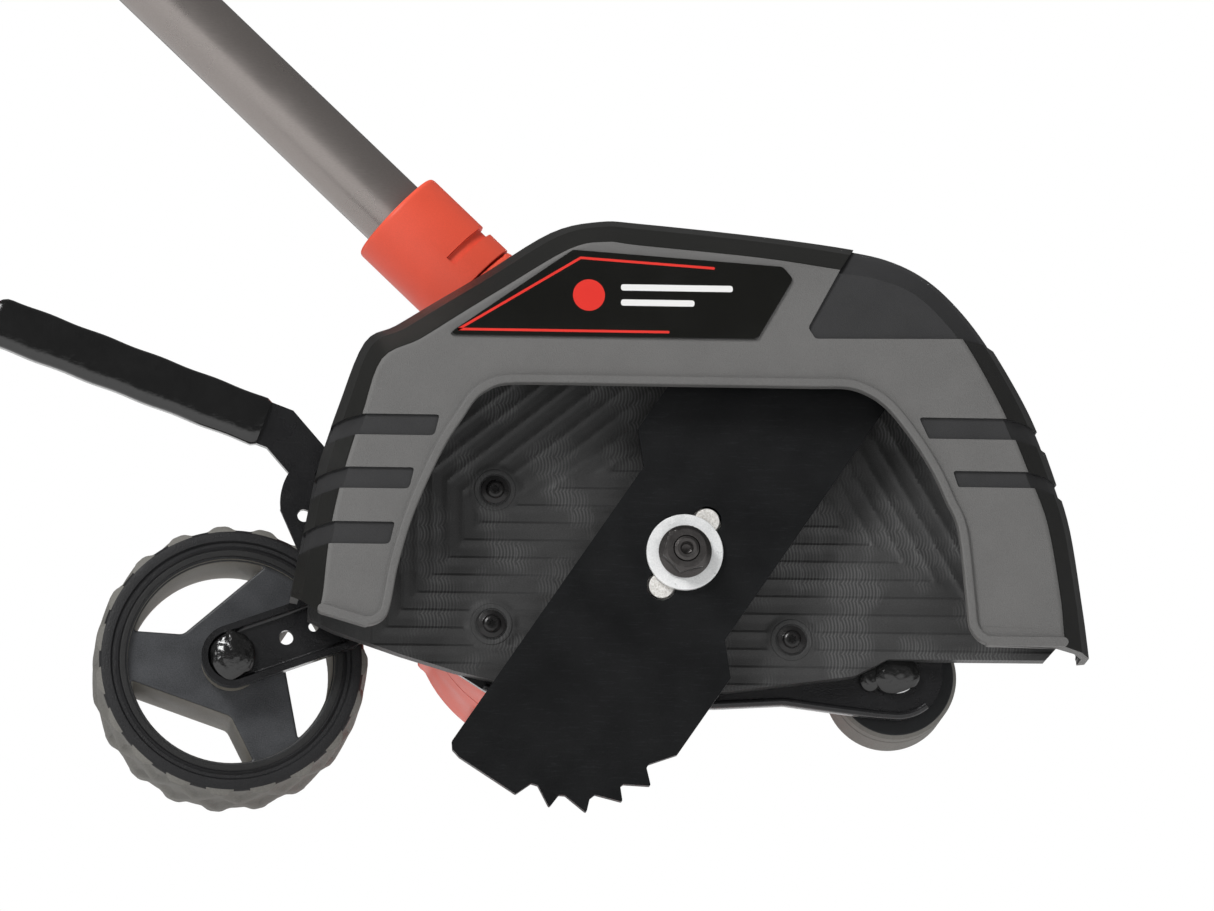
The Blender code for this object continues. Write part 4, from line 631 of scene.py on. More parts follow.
def guard_recesses():
    """The dark bands and the corner panel, sunk into the face and the shoulder to an even depth."""
    def skin(depth):
        start = inward(MOUTH, -LIP_W - 0.8)
        return [(start, GUARD_FRONT + depth), (inward(FACE, depth), GUARD_FRONT + depth),
                (inward(SHOULDER, depth), GUARD_SHOULDER + 0.4 * depth), (inward(REAR, depth), GUARD_BEND),
                (inward(REAR, depth), GUARD_BEND + 6.0)]

    lines = skin(-2.0) + skin(STRIP_DEPTH)[::-1]
    sheath = made("recess_tool", loft(lines_to_rows(lines, [0] * len(lines))), STRIP_DARK)
    far = 140.0
    left = ((40.2, 33.6, -77.4), (23.4, 16.7, -85.2), (6.2, -0.8, -91.2))
    right = ((41.5, 34.8, 72.2, 75.3), (24.7, 19.6, 82.8, 84.4))
    shapes = [rounded([(-far, high, 0), (end, high, 0.8), (end - 1.6, low, 1.8), (-far, low, 0)], 3)
              for high, low, end in left]
    shapes += [rounded([(a, high, 0.8), (far, high, 0), (far, low, 0), (b, low, 0.8)], 3)
               for high, low, a, b in right]
    shapes.append(rounded([(47.7, 87.9, 1.0), (37.7, 69.5, 1.5), (39.9, 66.0, 1.5), (85.3, 66.6, 0),
                           (102.0, 67.2, 0), (108.0, 78.0, 0), (62.0, 112.0, 0)], 3))
    boolean(sheath, made("windows_tool", merged(*[prism(s, -30.0, 30.0) for s in shapes]), STRIP_DARK),
            "INTERSECT")
    return sheath


LABEL = ((-75.5, 65.3, 1.0), (-36.0, 93.0, 2.0), (29.8, 88.6, 2.5), (33.0, 84.7, 2.0), (21.7, 65.3, 2.0))


LABEL_LINE_W = 0.8
LABEL_RAISED, LABEL_SUNK = 0.07, 0.1   # how far its marks stand out of its face and reach into it


def label():
    front, rear = span("label_plate")
    piece("label_face", soft_prism(rounded(LABEL, 5), rear, front, 0.2, steps=2), LABEL_GLOSS, "head",
          ["label_plate"])
    depth = (front - LABEL_RAISED, front + LABEL_SUNK)
    corner = (-71.6, 67.2)
    lines = [stroke(route, LABEL_LINE_W, 6) for route in ([corner, (-33.6, 90.4), (8.0, 87.7)],
                                                          [corner, (-6.2, 67.2)])]
    piece("label_lines", merged(*[prism(line, *depth) for line in lines]), LABEL_RED, "head")
    piece("label_dot", prism(circle(-31.0, 78.6, 5.0, 48), *depth), LABEL_RED, "head")
    bars = [rounded([(-21.0, z, 0.9), (x, z, 0.9), (x, z + 2.0, 0.9), (-21.0, z + 2.0, 0.9)], 4)
            for z, x in ((80.2, 14.0), (75.4, 2.0))]
    piece("label_bars", merged(*[prism(b, *depth) for b in bars]), LABEL_PALE, "head")


# ---------------------------------------------------------------- back plate, chassis plate and screws

PLATE_BOTTOM = ((114.7, -30.1), (65.2, -30.3), (60.2, -33.0), (54.8, -35.7), (36.7, -38.2), (14.7, -41.1),
                (-58.0, -38.6), (-70.8, -35.7), (-87.8, -30.6), (-108.5, -23.6), (-116.6, -19.8))
PLATE_LEFT, PLATE_LOW, PLATE_W, PLATE_H = -126.0, -48.0, 250, 160
PLATE_PITCH = 0.8
TERRACE = 5.6
TERRACE_DEPTH = 0.7
SCREWS = [centre_xz(f"guard_screw_{k}") for k in (1, 2, 3, 4)]


def terraces(x, z):
    """How far the plate's front is sunk: level steps below and in the middle, which turn up the sides."""
    reach = min(z + 45.0, (x + 112.0) * 1.15, (x + 103.0) * 0.62 - (z - 30.0) * 0.78 + 22.0,
                (96.0 - x) * 0.86 - (z - 10.0) * 0.5 + 18.0)
    part = (reach / TERRACE) % 1.0
    step = min(1.0, part / 0.12) if part < 0.5 else min(1.0, (1.0 - part) / 0.5 + 0.25)
    for sx, sz in SCREWS:
        near = math.hypot(x - sx, z - sz)
        step *= min(1.0, max(0.0, (near - 7.0) / 1.5))
    return TERRACE_DEPTH * step


def back_plate():
    front, rear = span("guard_back_plate")
    outline = PLATE_RIM + list(PLATE_BOTTOM)
    cols, rows = int(PLATE_W / PLATE_PITCH), int(PLATE_H / PLATE_PITCH)
    bm = bmesh.new()
    sheets = []
    for back in (False, True):
        grid = []
        for i in range(cols + 1):
            x = PLATE_LEFT + i * PLATE_PITCH
            line = []
            for j in range(rows + 1):
                z = PLATE_LOW + j * PLATE_PITCH
                line.append(bm.verts.new((x, rear if back else front + terraces(x, z), z)))
            grid.append(line)
        for near, far in zip(grid, grid[1:]):
            for j in range(rows):
                bm.faces.new((near[j], near[j + 1], far[j + 1], far[j]))
        sheets.append(grid)
    rims = []
    for grid in sheets:
        top = [line[-1] for line in grid[1:]]
        bottom = [line[0] for line in grid[-2:0:-1]]
        rims.append(grid[0] + top + grid[-1][-2::-1] + bottom)
    for i in range(len(rims[0])):
        bm.faces.new((rims[0][i - 1], rims[0][i], rims[1][i], rims[1][i - 1]))
    plate = made("back_plate", bm, PLATE_BLACK)
    holes = [circle(x, z, SCREW_BORE_R, 32) for x, z in SCREWS] + [circle(0, 0, 18.0, 72)]
    boolean(plate, made("plate_outline", prism(outline, front - 5.0, rear + 5.0, holes), PLATE_BLACK),
            "INTERSECT")
    show(plate, "head", ["guard_back_plate"], sharp=28)
    collars = [ring(rear - 1.0, level("chassis_plate", 0) - 0.3, 5.0, 2.6, base=(x, 0.0, z))
               for x, z in SCREWS]
    piece("back_plate_bosses", merged(*collars), BLACK_PLASTIC, "head")
    rim = [ring(front - 0.35, front + 1.2, 6.6, 4.9, 0.5, base=(x, 0.0, z)) for x, z in SCREWS]
    piece("screw_seats", merged(*rim), PLATE_BLACK, "head")


def star(x, z, r_out, r_in):
    return [(x + (r_out if k % 2 else r_in) * math.cos(math.pi * k / 6),
             z + (r_out if k % 2 else r_in) * math.sin(math.pi * k / 6)) for k in range(12)]


def screw(name, finish, out):
    """A flanged pan-head screw with a six-lobe drive; out is -1 where the head faces the blade side."""
    low, high = span(name)
    x, z = centre_xz(name)
    tip, head = (high, low) if out < 0 else (low, high)
    seat = head - out * 2.2
    section = [(tip, 0.0), (tip, 2.0), (seat, 2.0), (seat, 4.4), (seat + out * 0.7, 4.4),
               (seat + out * 0.9, 2.9), (head - out * 0.3, 2.5), (head, 1.8), (head, 0.0)]
    obj = made(name + "_look", lathe(soften(section, [0, 0.4, 0, 0.2, 0.25, 0.3, 0.5, 0.3, 0], 3),
                                     (x, 0, z)), finish)
    boolean(obj, made("drive_tool", prism(star(x, z, 1.45, 1.0), head - out * 1.3, head + out * 1.0), finish))
    show(obj, "head", [name], sharp=30)


CHASSIS_EDGE = ((-125.2, 16.0, 0), (-118.8, 1.5, 6), (-106.0, -14.0, 12), (-84.0, -22.0, 10),
                (-70.5, -34.8, 3), (-59.8, -41.6, 6), (11.0, -45.7, 20), (32.7, -44.4, 10),
                (49.4, -46.5, 10), (62.0, -48.0, 4))
CHASSIS_TOP = ((83.2, -20.0, 8), (72.0, 2.0, 20), (40.0, 46.0, 16), (-52.0, 46.0, 14), (-72.0, 36.0, 14),
               (-96.0, 33.0, 6))


def chassis():
    front, rear = span("chassis_plate")
    eye = circle(*ROLLER, 14.5, 40, -math.pi / 2, math.pi / 2)
    nose = circle(-108.0, 18.5, 17.2, 32, math.radians(75), math.radians(115))
    outline = rounded(list(CHASSIS_EDGE) + [(x, z, 0) for x, z in eye] + list(CHASSIS_TOP)
                      + [(x, z, 0) for x, z in nose], 8)
    holes = [circle(x, z, SCREW_BORE_R, 32) for x, z in SCREWS] + [circle(*spot, 2.0, 32) for spot in DETENTS]
    holes += [circle(*PIVOT, 4.3, 40), circle(*ROLLER, AXLE_BORE_R, 40), circle(0, 0, 7.5, 48)]
    piece("chassis_sheet", prism(outline, front, rear, holes), BLACK_STEEL, "head", ["chassis_plate"],
          bevel=0.5)
    lower = [p for p in outline if p[1] < -30.0 and -68.0 < p[0] < 78.0]
    lower.sort()
    inner = [(x, z + 1.3) for x, z in lower]
    piece("chassis_rolled_edge", bar([(x, front - 0.4, z) for x, z in inner], 1.25, 16), BLACK_STEEL, "head")
    piece("roller_weld", blob((68.2, 19.3, -33.9), (7.2, 2.0, 6.4), 3.0), WELD, "head")
    piece("roller_weld_small", blob((60.4, 19.6, -35.2), (3.6, 1.4, 4.6), 9.0), WELD, "head")


# ---------------------------------------------------------------- blade and spindle

BLADE_ANGLE = math.radians(55.4)
BLADE_REACH, BLADE_HALF_W = 92.8, 25.9
LUG_OFFSET, LUG_R, LUG_BORE_R = 12.5, 4.0, 4.6
WASHER_R, FLANGE_R = 12.0, 16.0
THREAD_R, THREAD_ROOT_R, THREAD_PITCH = 3.85, 3.35, 1.25
BLADE_EDGE = ((0.165, 1.0), (0.26, 1.32), (0.578, 1.32), (0.66, 1.105), (0.674, 1.11), (0.716, 1.275),
              (0.764, 0.995), (0.777, 0.98), (0.815, 1.108), (0.848, 0.787), (0.870, 0.763), (0.915, 0.827),
              (0.908, 0.50), (0.919, 0.435), (0.972, 0.426), (0.933, 0.164), (0.94, 0.085), (1.0, 0.005),
              (1.006, -0.80), (0.998, -0.92), (0.975, -0.985))


def blade_point(u, v):
    a = BLADE_ANGLE
    return (-u * math.cos(a) + v * math.sin(a), -u * math.sin(a) - v * math.cos(a))


def blade_stack():
    front, rear = span("blade")
    half = [(u * BLADE_REACH, v * BLADE_HALF_W) for u, v in BLADE_EDGE]
    corners = [(*blade_point(u, v), 0.5) for u, v in half] + [(*blade_point(-u, -v), 0.5) for u, v in half]
    holes = [circle(0, 0, SPINDLE_BORE_R, 48)] + [circle(*blade_point(s * LUG_OFFSET, 0), LUG_BORE_R, 40)
                                                  for s in (1, -1)]
    piece("edger_blade", prism(rounded(corners, 3), front, rear, holes), BLADE_STEEL, "blade_drive",
          ["blade"], bevel=0.35)
    low, high = span("drive_flange")
    lugs = [rod(low, rear + 1.5, LUG_R, 0.5, base=at(blade_point(s * LUG_OFFSET, 0)),
                sides=48) for s in (1, -1)]
    piece("flange_and_lugs", merged(ring(rear + 0.3, high, FLANGE_R, SPINDLE_BORE_R, 0.8), *lugs), LUG_STEEL,
          "blade_drive", ["drive_flange"])
    low, high = span("blade_washer")
    piece("washer_plate", ring(low, high, WASHER_R, SPINDLE_BORE_R, 0.5), ZINC_AND_PAINTED_SHEEN, "blade_drive",
          ["blade_washer"])
    hex_nut("blade_nut", 13.0, SPINDLE_BORE_R, 8.3, (0.0, 0.0), "blade_drive", NUT_STEEL)
    low, high = span("spindle")
    section = [(low + 3.5, 0.0), (low + 3.0, 1.6), (low + 0.9, 1.6), (low + 0.1, 2.1), (low, 3.0)]
    along = low + 0.6
    while along < -0.5:
        section += [(along, THREAD_R), (along + THREAD_PITCH / 2 - 0.005, THREAD_ROOT_R)]
        along += THREAD_PITCH
    section += [(0.0, THREAD_R), (8.6, THREAD_R), (8.6, 6.5), (24.3, 6.5), (24.3, 5.0), (high, 5.0),
                (high, 0.0)]
    piece("spindle_shaft", lathe(section), NUT_STEEL, "blade_drive", ["spindle"], sharp=25)


def hex_nut(node, flat, bore, flange_r, centre, body, finish):
    low, high = span(node)
    corner_r = flat / math.sqrt(3)
    base = at(centre)
    obj = made(node + "_look", prism(circle(*centre, corner_r, 6, math.radians(15)), low, high,
                                     [circle(*centre, bore, 48)]), finish)
    dome = [(low, 0.0), (low, flat / 2 - 0.4), (low + 1.4, corner_r + 0.4), (high - 0.6, corner_r + 0.4),
            (high, flat / 2), (high, 0.0)]
    boolean(obj, made("chamfer_tool", lathe(dome, base), finish), "INTERSECT")
    show(obj, body, [node], bevel=0.15, segments=2)
    if flange_r:
        skirt = [(high - 2.6, bore), (high - 2.6, flat * 0.48), (high - 1.4, flange_r - 0.7),
                 (high - 0.8, flange_r), (high, flange_r), (high, bore)]
        piece(node + "_flange", lathe(soften(skirt, [0, 0.4, 0.4, 0.3, 0.3, 0], 3), base), finish, body)


# ---------------------------------------------------------------- depth lever, arm, wheel and roller

def lever():
    slope = math.radians(20.6)
    end = Vector((-130.4, 44.1))
    away = Vector((-math.cos(slope), math.sin(slope)))
    across = Vector((math.sin(slope), math.cos(slope)))
    line = [tuple(end + away * 82.0), tuple(end - away * 5.5), DETENTS[0], PIVOT]
    front, rear = level("depth_lever", 0) + 0.7, level("depth_lever", 1)
    obj = made("lever_bar", prism(stroke(line, 14.0, 24), front, rear), BLACK_STEEL)
    boolean(obj, made("eye_tool", prism(circle(*PIVOT, 12.0, 64), front + 0.05, rear - 0.05), BLACK_STEEL),
            "UNION")
    boolean(obj, made("bore_tool", prism(circle(*PIVOT, PIVOT_BORE_R, 48), front - 1, rear + 1), BLACK_STEEL))
    show(obj, "crank", ["depth_lever"], bevel=0.7)
    low, high = span("lever_grip")
    mid_y, half_y = (low + high) / 2, (high - low) / 2
    rows = []
    steps = 60
    for i in range(steps + 1):
        t = i / steps
        along = 93.5 * t
        tip = math.sqrt(max(0.0, 1 - max(0.0, (along - 87.5) / 6.0) ** 2))
        mouth = 1.0 - 0.10 * max(0.0, 1 - along / 1.6)
        swell = 1.0 - 0.035 * math.sin(along / 93.5 * math.pi * 5) ** 2
        wide, thick = 8.0 * swell * mouth * max(0.12, tip), half_y * mouth * max(0.2, tip ** 0.5)
        row = []
        for k in range(40):
            a = 2 * math.pi * k / 40
            bend_x = math.copysign(abs(math.cos(a)) ** 0.55, math.cos(a))
            bend_y = math.copysign(abs(math.sin(a)) ** 0.55, math.sin(a))
            spot = end + away * along + across * (wide * bend_x)
            row.append((spot.x, mid_y + thick * bend_y, spot.y))
        rows.append(row)
    piece("lever_sleeve", loft(rows), VINYL, "crank", ["lever_grip"], sharp=60)


def arm():
    line = [WHEEL, (-106.0, -17.5), PIVOT]
    low, high = span("wheel_arm")
    holes = [circle(*PIVOT, PIVOT_BORE_R, 40), circle(*WHEEL, AXLE_BORE_R, 40),
             circle(-122.7, -23.3, 2.3, 32), circle(-114.1, -19.7, 1.6, 28)]
    obj = made("arm_pressing", prism(stroke(line, 19.5, 28), low, high, holes), BLACK_STEEL)
    boolean(obj, made("pocket_tool", soft_prism(stroke(line, 15.5, 28), low - 1.5, high - 2.5, 1.2),
                      BLACK_STEEL))
    show(obj, "crank", ["wheel_arm"], bevel=0.6)
    piece("arm_weld", blob((WHEEL[0], 28.2, WHEEL[1]), (6.8, 2.4, 7.6), 1.0), WELD, "crank")
    low, high = span("pivot_tube")
    base = at(PIVOT)
    piece("pivot_sleeve", ring(low, high, 7.0, 4.3, base=base), ZINC_AND_PAINTED_SHEEN, "crank", ["pivot_tube"])
    low, high = span("pivot_bolt")
    section = [(low, 0.0), (low, 6.0), (low + 2.4, 7.2), (low + 2.4, 4.0), (high, 4.0), (high, 0.0)]
    piece("pivot_bolt_look", lathe(soften(section, [0, 0.8, 0.4, 0, 0.4, 0], 3), base), ZINC_AND_PAINTED_SHEEN, "head",
          ["pivot_bolt"])


RIM_R = 34.5
SPOKE_TURN = 57.0
SPOKE_HALF_W = 8.0
WINDOW_R, WINDOW_TIP_R = 32.0, 17.4
WINDOW_TIP_TURN = 93.0
LOZENGES = 19
TREAD_R, TREAD_DEPTH, TREAD_BASE_R = 43.0, 1.5, 41.4
TREAD_LEAN = 0.6


def two_tone(bm, second):
    """Gives the second material to the faces that a test picks."""
    bmesh.ops.recalc_face_normals(bm, faces=bm.faces)
    for face in bm.faces:
        face.material_index = int(second(face))
    return bm


def round_face(face, radius):
    middle = face.calc_center_median()
    return math.hypot(middle.x - WHEEL[0], middle.z - WHEEL[1]) > radius


def wheel():
    front, rear = span("rear_tyre")
    mid, width = (front + rear) / 2, rear - front
    base = at(WHEEL)
    crown = [(front + 1.2 + (width - 2.4) * k / 44, TREAD_BASE_R) for k in range(45)]
    section = [(front + 1.0, RIM_R + 0.3), (front + 0.2, 35.6), (front + 0.9, 36.4), (front + 0.9, 37.4),
               (front, 38.0), (front, 40.2), (front + 0.5, 41.0)] + crown
    section += [(rear - 0.5, 41.0), (rear, 40.2), (rear, 38.0), (rear - 0.9, 37.4), (rear - 0.9, 36.4),
                (rear - 0.2, 35.6), (rear - 1.0, RIM_R + 0.3)]

    def tread(along, r, angle):
        """Lozenge pockets between ridges that cross; they run out at the tyre's sides."""
        if r < TREAD_BASE_R:
            return r
        across = (along - mid) / (width / 2)
        turn = angle * LOZENGES / (2 * math.pi)
        edge = max(abs((turn + TREAD_LEAN * across) % 1.0 - 0.5),
                   abs((turn - TREAD_LEAN * across) % 1.0 - 0.5))
        pocket = min(1.0, max(0.0, (0.45 - edge) / 0.24))
        pocket *= pocket * (3.0 - 2.0 * pocket)
        shoulder = max(0.0, (abs(across) - 0.86) / 0.14) ** 2
        return TREAD_R - TREAD_DEPTH * pocket - 0.9 * shoulder * (1.0 - pocket)

    tyre = made("tyre", two_tone(lathe(section, base, sides=504, radius_at=tread),
                                 lambda f: round_face(f, TREAD_BASE_R - 0.1)), TYRE, TREAD_DUST)
    show(tyre, "rear_wheel", ["rear_tyre"], sharp=38)
    low, high = span("rear_rim")
    barrel = [(front + 1.5, RIM_R), (front + 1.5, 33.4), (front + 2.6, 32.6), (mid - 3.0, 32.2),
              (rear - 2.6, 32.6), (rear - 1.5, 33.4), (rear - 1.5, RIM_R)]
    windows = []
    for k in range(3):
        start = math.radians(SPOKE_TURN + 120 * k)
        lean = math.asin(SPOKE_HALF_W / WINDOW_R)
        arc = circle(*WHEEL, WINDOW_R, 24, start + lean, math.radians(120) - 2 * lean)
        tip_turn = start + math.radians(WINDOW_TIP_TURN)
        tip = (WHEEL[0] + WINDOW_TIP_R * math.cos(tip_turn), WHEEL[1] + WINDOW_TIP_R * math.sin(tip_turn))
        corners = [(x, z, 3.0 if n in (0, 23) else 0.0) for n, (x, z) in enumerate(arc)] + [(*tip, 3.5)]
        windows.append(rounded(corners, 6))
    spokes = soft_prism(circle(*WHEEL, 33.4, 96), rear - 3.0, front + 3.6, 0.9, windows, 3)
    hub = merged(ring(low, mid, 9.3, AXLE_BORE_R, 0.8, base=base),
                 ring(mid, high - 0.5, 11.5, AXLE_BORE_R, 1.0, base=base))
    # Faces that look sideways take the paler second finish: painted light on the spokes' sides.
    rim = two_tone(merged(lathe(soften(barrel, [0.4] * 7, 2), base), spokes, hub),
                   lambda f: abs(f.normal.y) < 0.5)
    show(made("wheel_rim", rim, WHEEL_DARK, SPOKE_SIDE_PAINTED_LIGHT), "rear_wheel", ["rear_rim"])
    bead = [ring(y, y + 1.6, 35.3, 33.2, 0.6, base=base) for y in (front + 0.6, rear - 2.2)]
    piece("wheel_beads", merged(*bead), BLACK_PLASTIC, "rear_wheel")
    low, high = span("wheel_axle")
    axle = [(low + 0.6, 0.0), (low + 0.6, 4.0), (29.7, 6.4), (29.7, 5.0), (high, 5.0), (high, 0.0)]
    piece("wheel_axle_look", lathe(soften(axle, [0, 0.4, 0.3, 0, 0.6, 0], 3), base), ZINC_AND_PAINTED_SHEEN, "crank",
          ["wheel_axle"])
    hex_nut("wheel_nut", 15.0, AXLE_BORE_R, 0.0, WHEEL, "crank", ZINC_AND_PAINTED_SHEEN)


def roller():
    low, high = span("front_roller")
    base = at(ROLLER)
    section = [(low + 1.5, 5.3), (low + 1.5, 13.2), (low, 14.2), (low, 18.4), (low + 1.3, 19.7),
               (low + 6.5, 19.7), (low + 7.0, 19.3), (low + 7.8, 19.3), (low + 8.3, 19.7),
               (high - 1.2, 19.7), (high, 18.4), (high, 15.6), (high - 1.5, 14.6), (high - 1.5, 5.3)]
    piece("roller_body", lathe(soften(section, [0, 0.8, 0.6, 0.5, 0.8, 0.2, 0.2, 0.2, 0.2, 0.6, 0.6, 0.4,
                                                0.5, 0], 3), base), TREAD_DUST, "roller", ["front_roller"])
    piece("roller_cheek", ring(low - 0.15, low + 1.2, 18.6, 13.9, 0.5, base=base), DARK_GREY, "roller")
    low, high = span("roller_axle")
    section = [(low + 0.5, 0.0), (low + 0.5, 4.0), (20.7, 6.6), (20.7, 5.0), (high, 5.0), (high, 0.0)]
    piece("roller_axle_look", lathe(soften(section, [0, 0.4, 0.3, 0, 0.6, 0], 3), base), ZINC_AND_PAINTED_SHEEN, "head",
          ["roller_axle"])
    low, high = span("roller_retainer")
    piece("roller_clip", ring(low, high, 9.0, AXLE_BORE_R, base=base), ZINC_AND_PAINTED_SHEEN, "head", ["roller_retainer"])


# ---------------------------------------------------------------- collar, tubes and motor housing

UP = Vector((-math.cos(RISE), 0.0, math.sin(RISE)))
ACROSS = Vector((math.sin(RISE), 0.0, math.cos(RISE)))
TUBE_Y = 75.0
COLLAR_TOP = Vector((-86.5, TUBE_Y, 121.9))
TUBE_R, UPPER_R, COLLAR_R = 11.5, 13.5, 16.75
COLLAR_L = 34.0
MOTOR = (-33.0, 0.0)


def on_tube(distance, side=0.0):
    return COLLAR_TOP + UP * distance + ACROSS * side


def on_tube_xz(distance, side=0.0):
    point = on_tube(distance, side)
    return (point.x, point.z)


def tubes():
    top, rise = on_tube(0), UP
    piece("lower_pole", ring(-63.7, 520.0, TUBE_R, 10.0, 0.4, base=top, axis=rise), TUBE_METAL, "head",
          ["lower_tube"])
    piece("upper_pole", ring(370.0, 820.0, UPPER_R, 11.8, 0.4, base=top, axis=rise), TUBE_METAL, "upper",
          ["upper_tube"])
    section = [(0.0, TUBE_R + 0.15), (0.0, COLLAR_R), (COLLAR_L, COLLAR_R), (COLLAR_L, TUBE_R + 0.15)]
    collar = made("pole_collar", lathe(soften(section, [0.5, 1.8, 0.3, 0], 5), top, -rise, 128), RED_PLASTIC)
    slit = made("slit_tool", ring(22.95, 26.45, COLLAR_R + 4, COLLAR_R - 1.5, 0.6, base=top, axis=-rise,
                                  sides=128), RED_PLASTIC)
    block = [on_tube_xz(20, -1.5), on_tube_xz(20, 40), on_tube_xz(-60, 40), on_tube_xz(-60, -1.5)]
    boolean(slit, made("slit_side", prism(block, TUBE_Y - 40, TUBE_Y + 40), RED_PLASTIC), "INTERSECT")
    boolean(collar, slit)
    show(collar, "head", ["tube_collar"], sharp=30)
    start, radius = 346.0, 20.0

    def fluted(along, r, angle):
        inside = start + 9.0 < along < start + 50.0 and r > 18.0
        return r - (0.9 * max(0.0, math.cos(14 * angle)) ** 6 if inside else 0.0)

    body = [(start, 11.9), (start, 17.0), (start + 5, 19.5)]
    body += [(start + 10 + 4 * k, radius) for k in range(11)]
    body += [(start + 62, 16.5), (start + 62, 13.9), (369.7, 13.9), (369.7, 11.9)]
    piece("twist_sleeve", lathe(body, top, rise, 168, fluted), RED_PLASTIC, "lock_sleeve",
          ["twist_lock_sleeve"], sharp=40)


def housing():
    """The motor housing as one soft moulded form, parted in the plane of the tube's axis."""
    rear = level("motor_housing_rear", 1)
    barrel = [(36.0, 0.0), (36.0, 45.0), (rear, 45.0), (rear, 0.0)]
    fairing = belt(MOTOR, 44.8, on_tube_xz(-68), COLLAR_R)
    solids = [lathe(soften(barrel, [0, 3.0, 8.0, 0], 8), at(MOTOR), sides=160),
              prism(belt(MOTOR, 24.0, (0.0, 0.0), 33.0), 23.9, 70.0),
              prism(belt(MOTOR, 44.9, (0.0, 0.0), 33.0), 36.1, 70.0),
              prism(fairing, TUBE_Y - 15.7, TUBE_Y + 15.7),
              rod(0.0, 51.0, COLLAR_R, 0.3, base=on_tube(-34.4), axis=-UP)]
    for k in range(5):
        angle = math.radians(-158 + 34 * k)
        spot = (MOTOR[0] + 44.6 * math.cos(angle), 0.0, MOTOR[1] + 44.6 * math.sin(angle))
        solids.append(rod(84.0, rear - 9.0, 2.2, 1.5, base=spot, sides=24))
    form = made("housing_form", merged(*solids), RED_PLASTIC, STRIP_DARK)
    step = form.modifiers.new("blend", "REMESH")
    step.mode = "VOXEL"
    step.voxel_size = 1.1 * MM
    soft = form.modifiers.new("soft", "SMOOTH")
    soft.factor = 0.5
    soft.iterations = 6
    settle(form)
    slots = []
    for row in range(-3, 4):
        z = MOTOR[1] + row * 9.0
        reach = math.sqrt((45.0 - 12.0) ** 2 - (row * 9.0) ** 2)
        slots.append(rounded([(MOTOR[0] - reach, z - 1.9, 1.8), (MOTOR[0] + reach, z - 1.9, 1.8),
                              (MOTOR[0] + reach, z + 1.9, 1.8), (MOTOR[0] - reach, z + 1.9, 1.8)], 5))
    for name, keep, plane in (("front", -1.0, TUBE_Y - 0.35), ("rear", 1.0, TUBE_Y + 0.35)):
        bm = bmesh.new()
        bm.from_mesh(form.data)
        bm.transform(TO_WORLD.inverted())
        cut = bmesh.ops.bisect_plane(bm, geom=[*bm.verts, *bm.edges, *bm.faces], plane_co=(0, plane, 0),
                                     plane_no=(0, -keep, 0), clear_outer=True)
        rim = [e for e in cut["geom_cut"] if isinstance(e, bmesh.types.BMEdge)]
        bmesh.ops.triangle_fill(bm, use_beauty=True, use_dissolve=False, edges=rim)
        shell = made(f"housing_{name}", bm, RED_PLASTIC, STRIP_DARK)
        if name == "rear":
            # Painted shade: the vent pockets' walls and floors take the dark finish in place of the housing's
            # red, for the dark inside of the vents.
            boolean(shell, made("vents", merged(*[prism(s, rear - 4.0, rear + 3.0) for s in slots]),
                                STRIP_DARK))
        show(shell, "head", [f"motor_housing_{name}"], sharp=40)
    bpy.data.objects.remove(form, do_unlink=True)


# ---------------------------------------------------------------- second handle

AUX_AT, AUX_SIDE = 560.0, 26.0
AUX_PIVOT = on_tube(AUX_AT, AUX_SIDE)
AUX_HALF_W, AUX_REACH = 64.0, 96.0
CLAMP_HALF, EAR = 20.0, 10.0
KNOB_R, KNOB_LOBE, KNOB_LOBES = 11.4, 1.2, 6


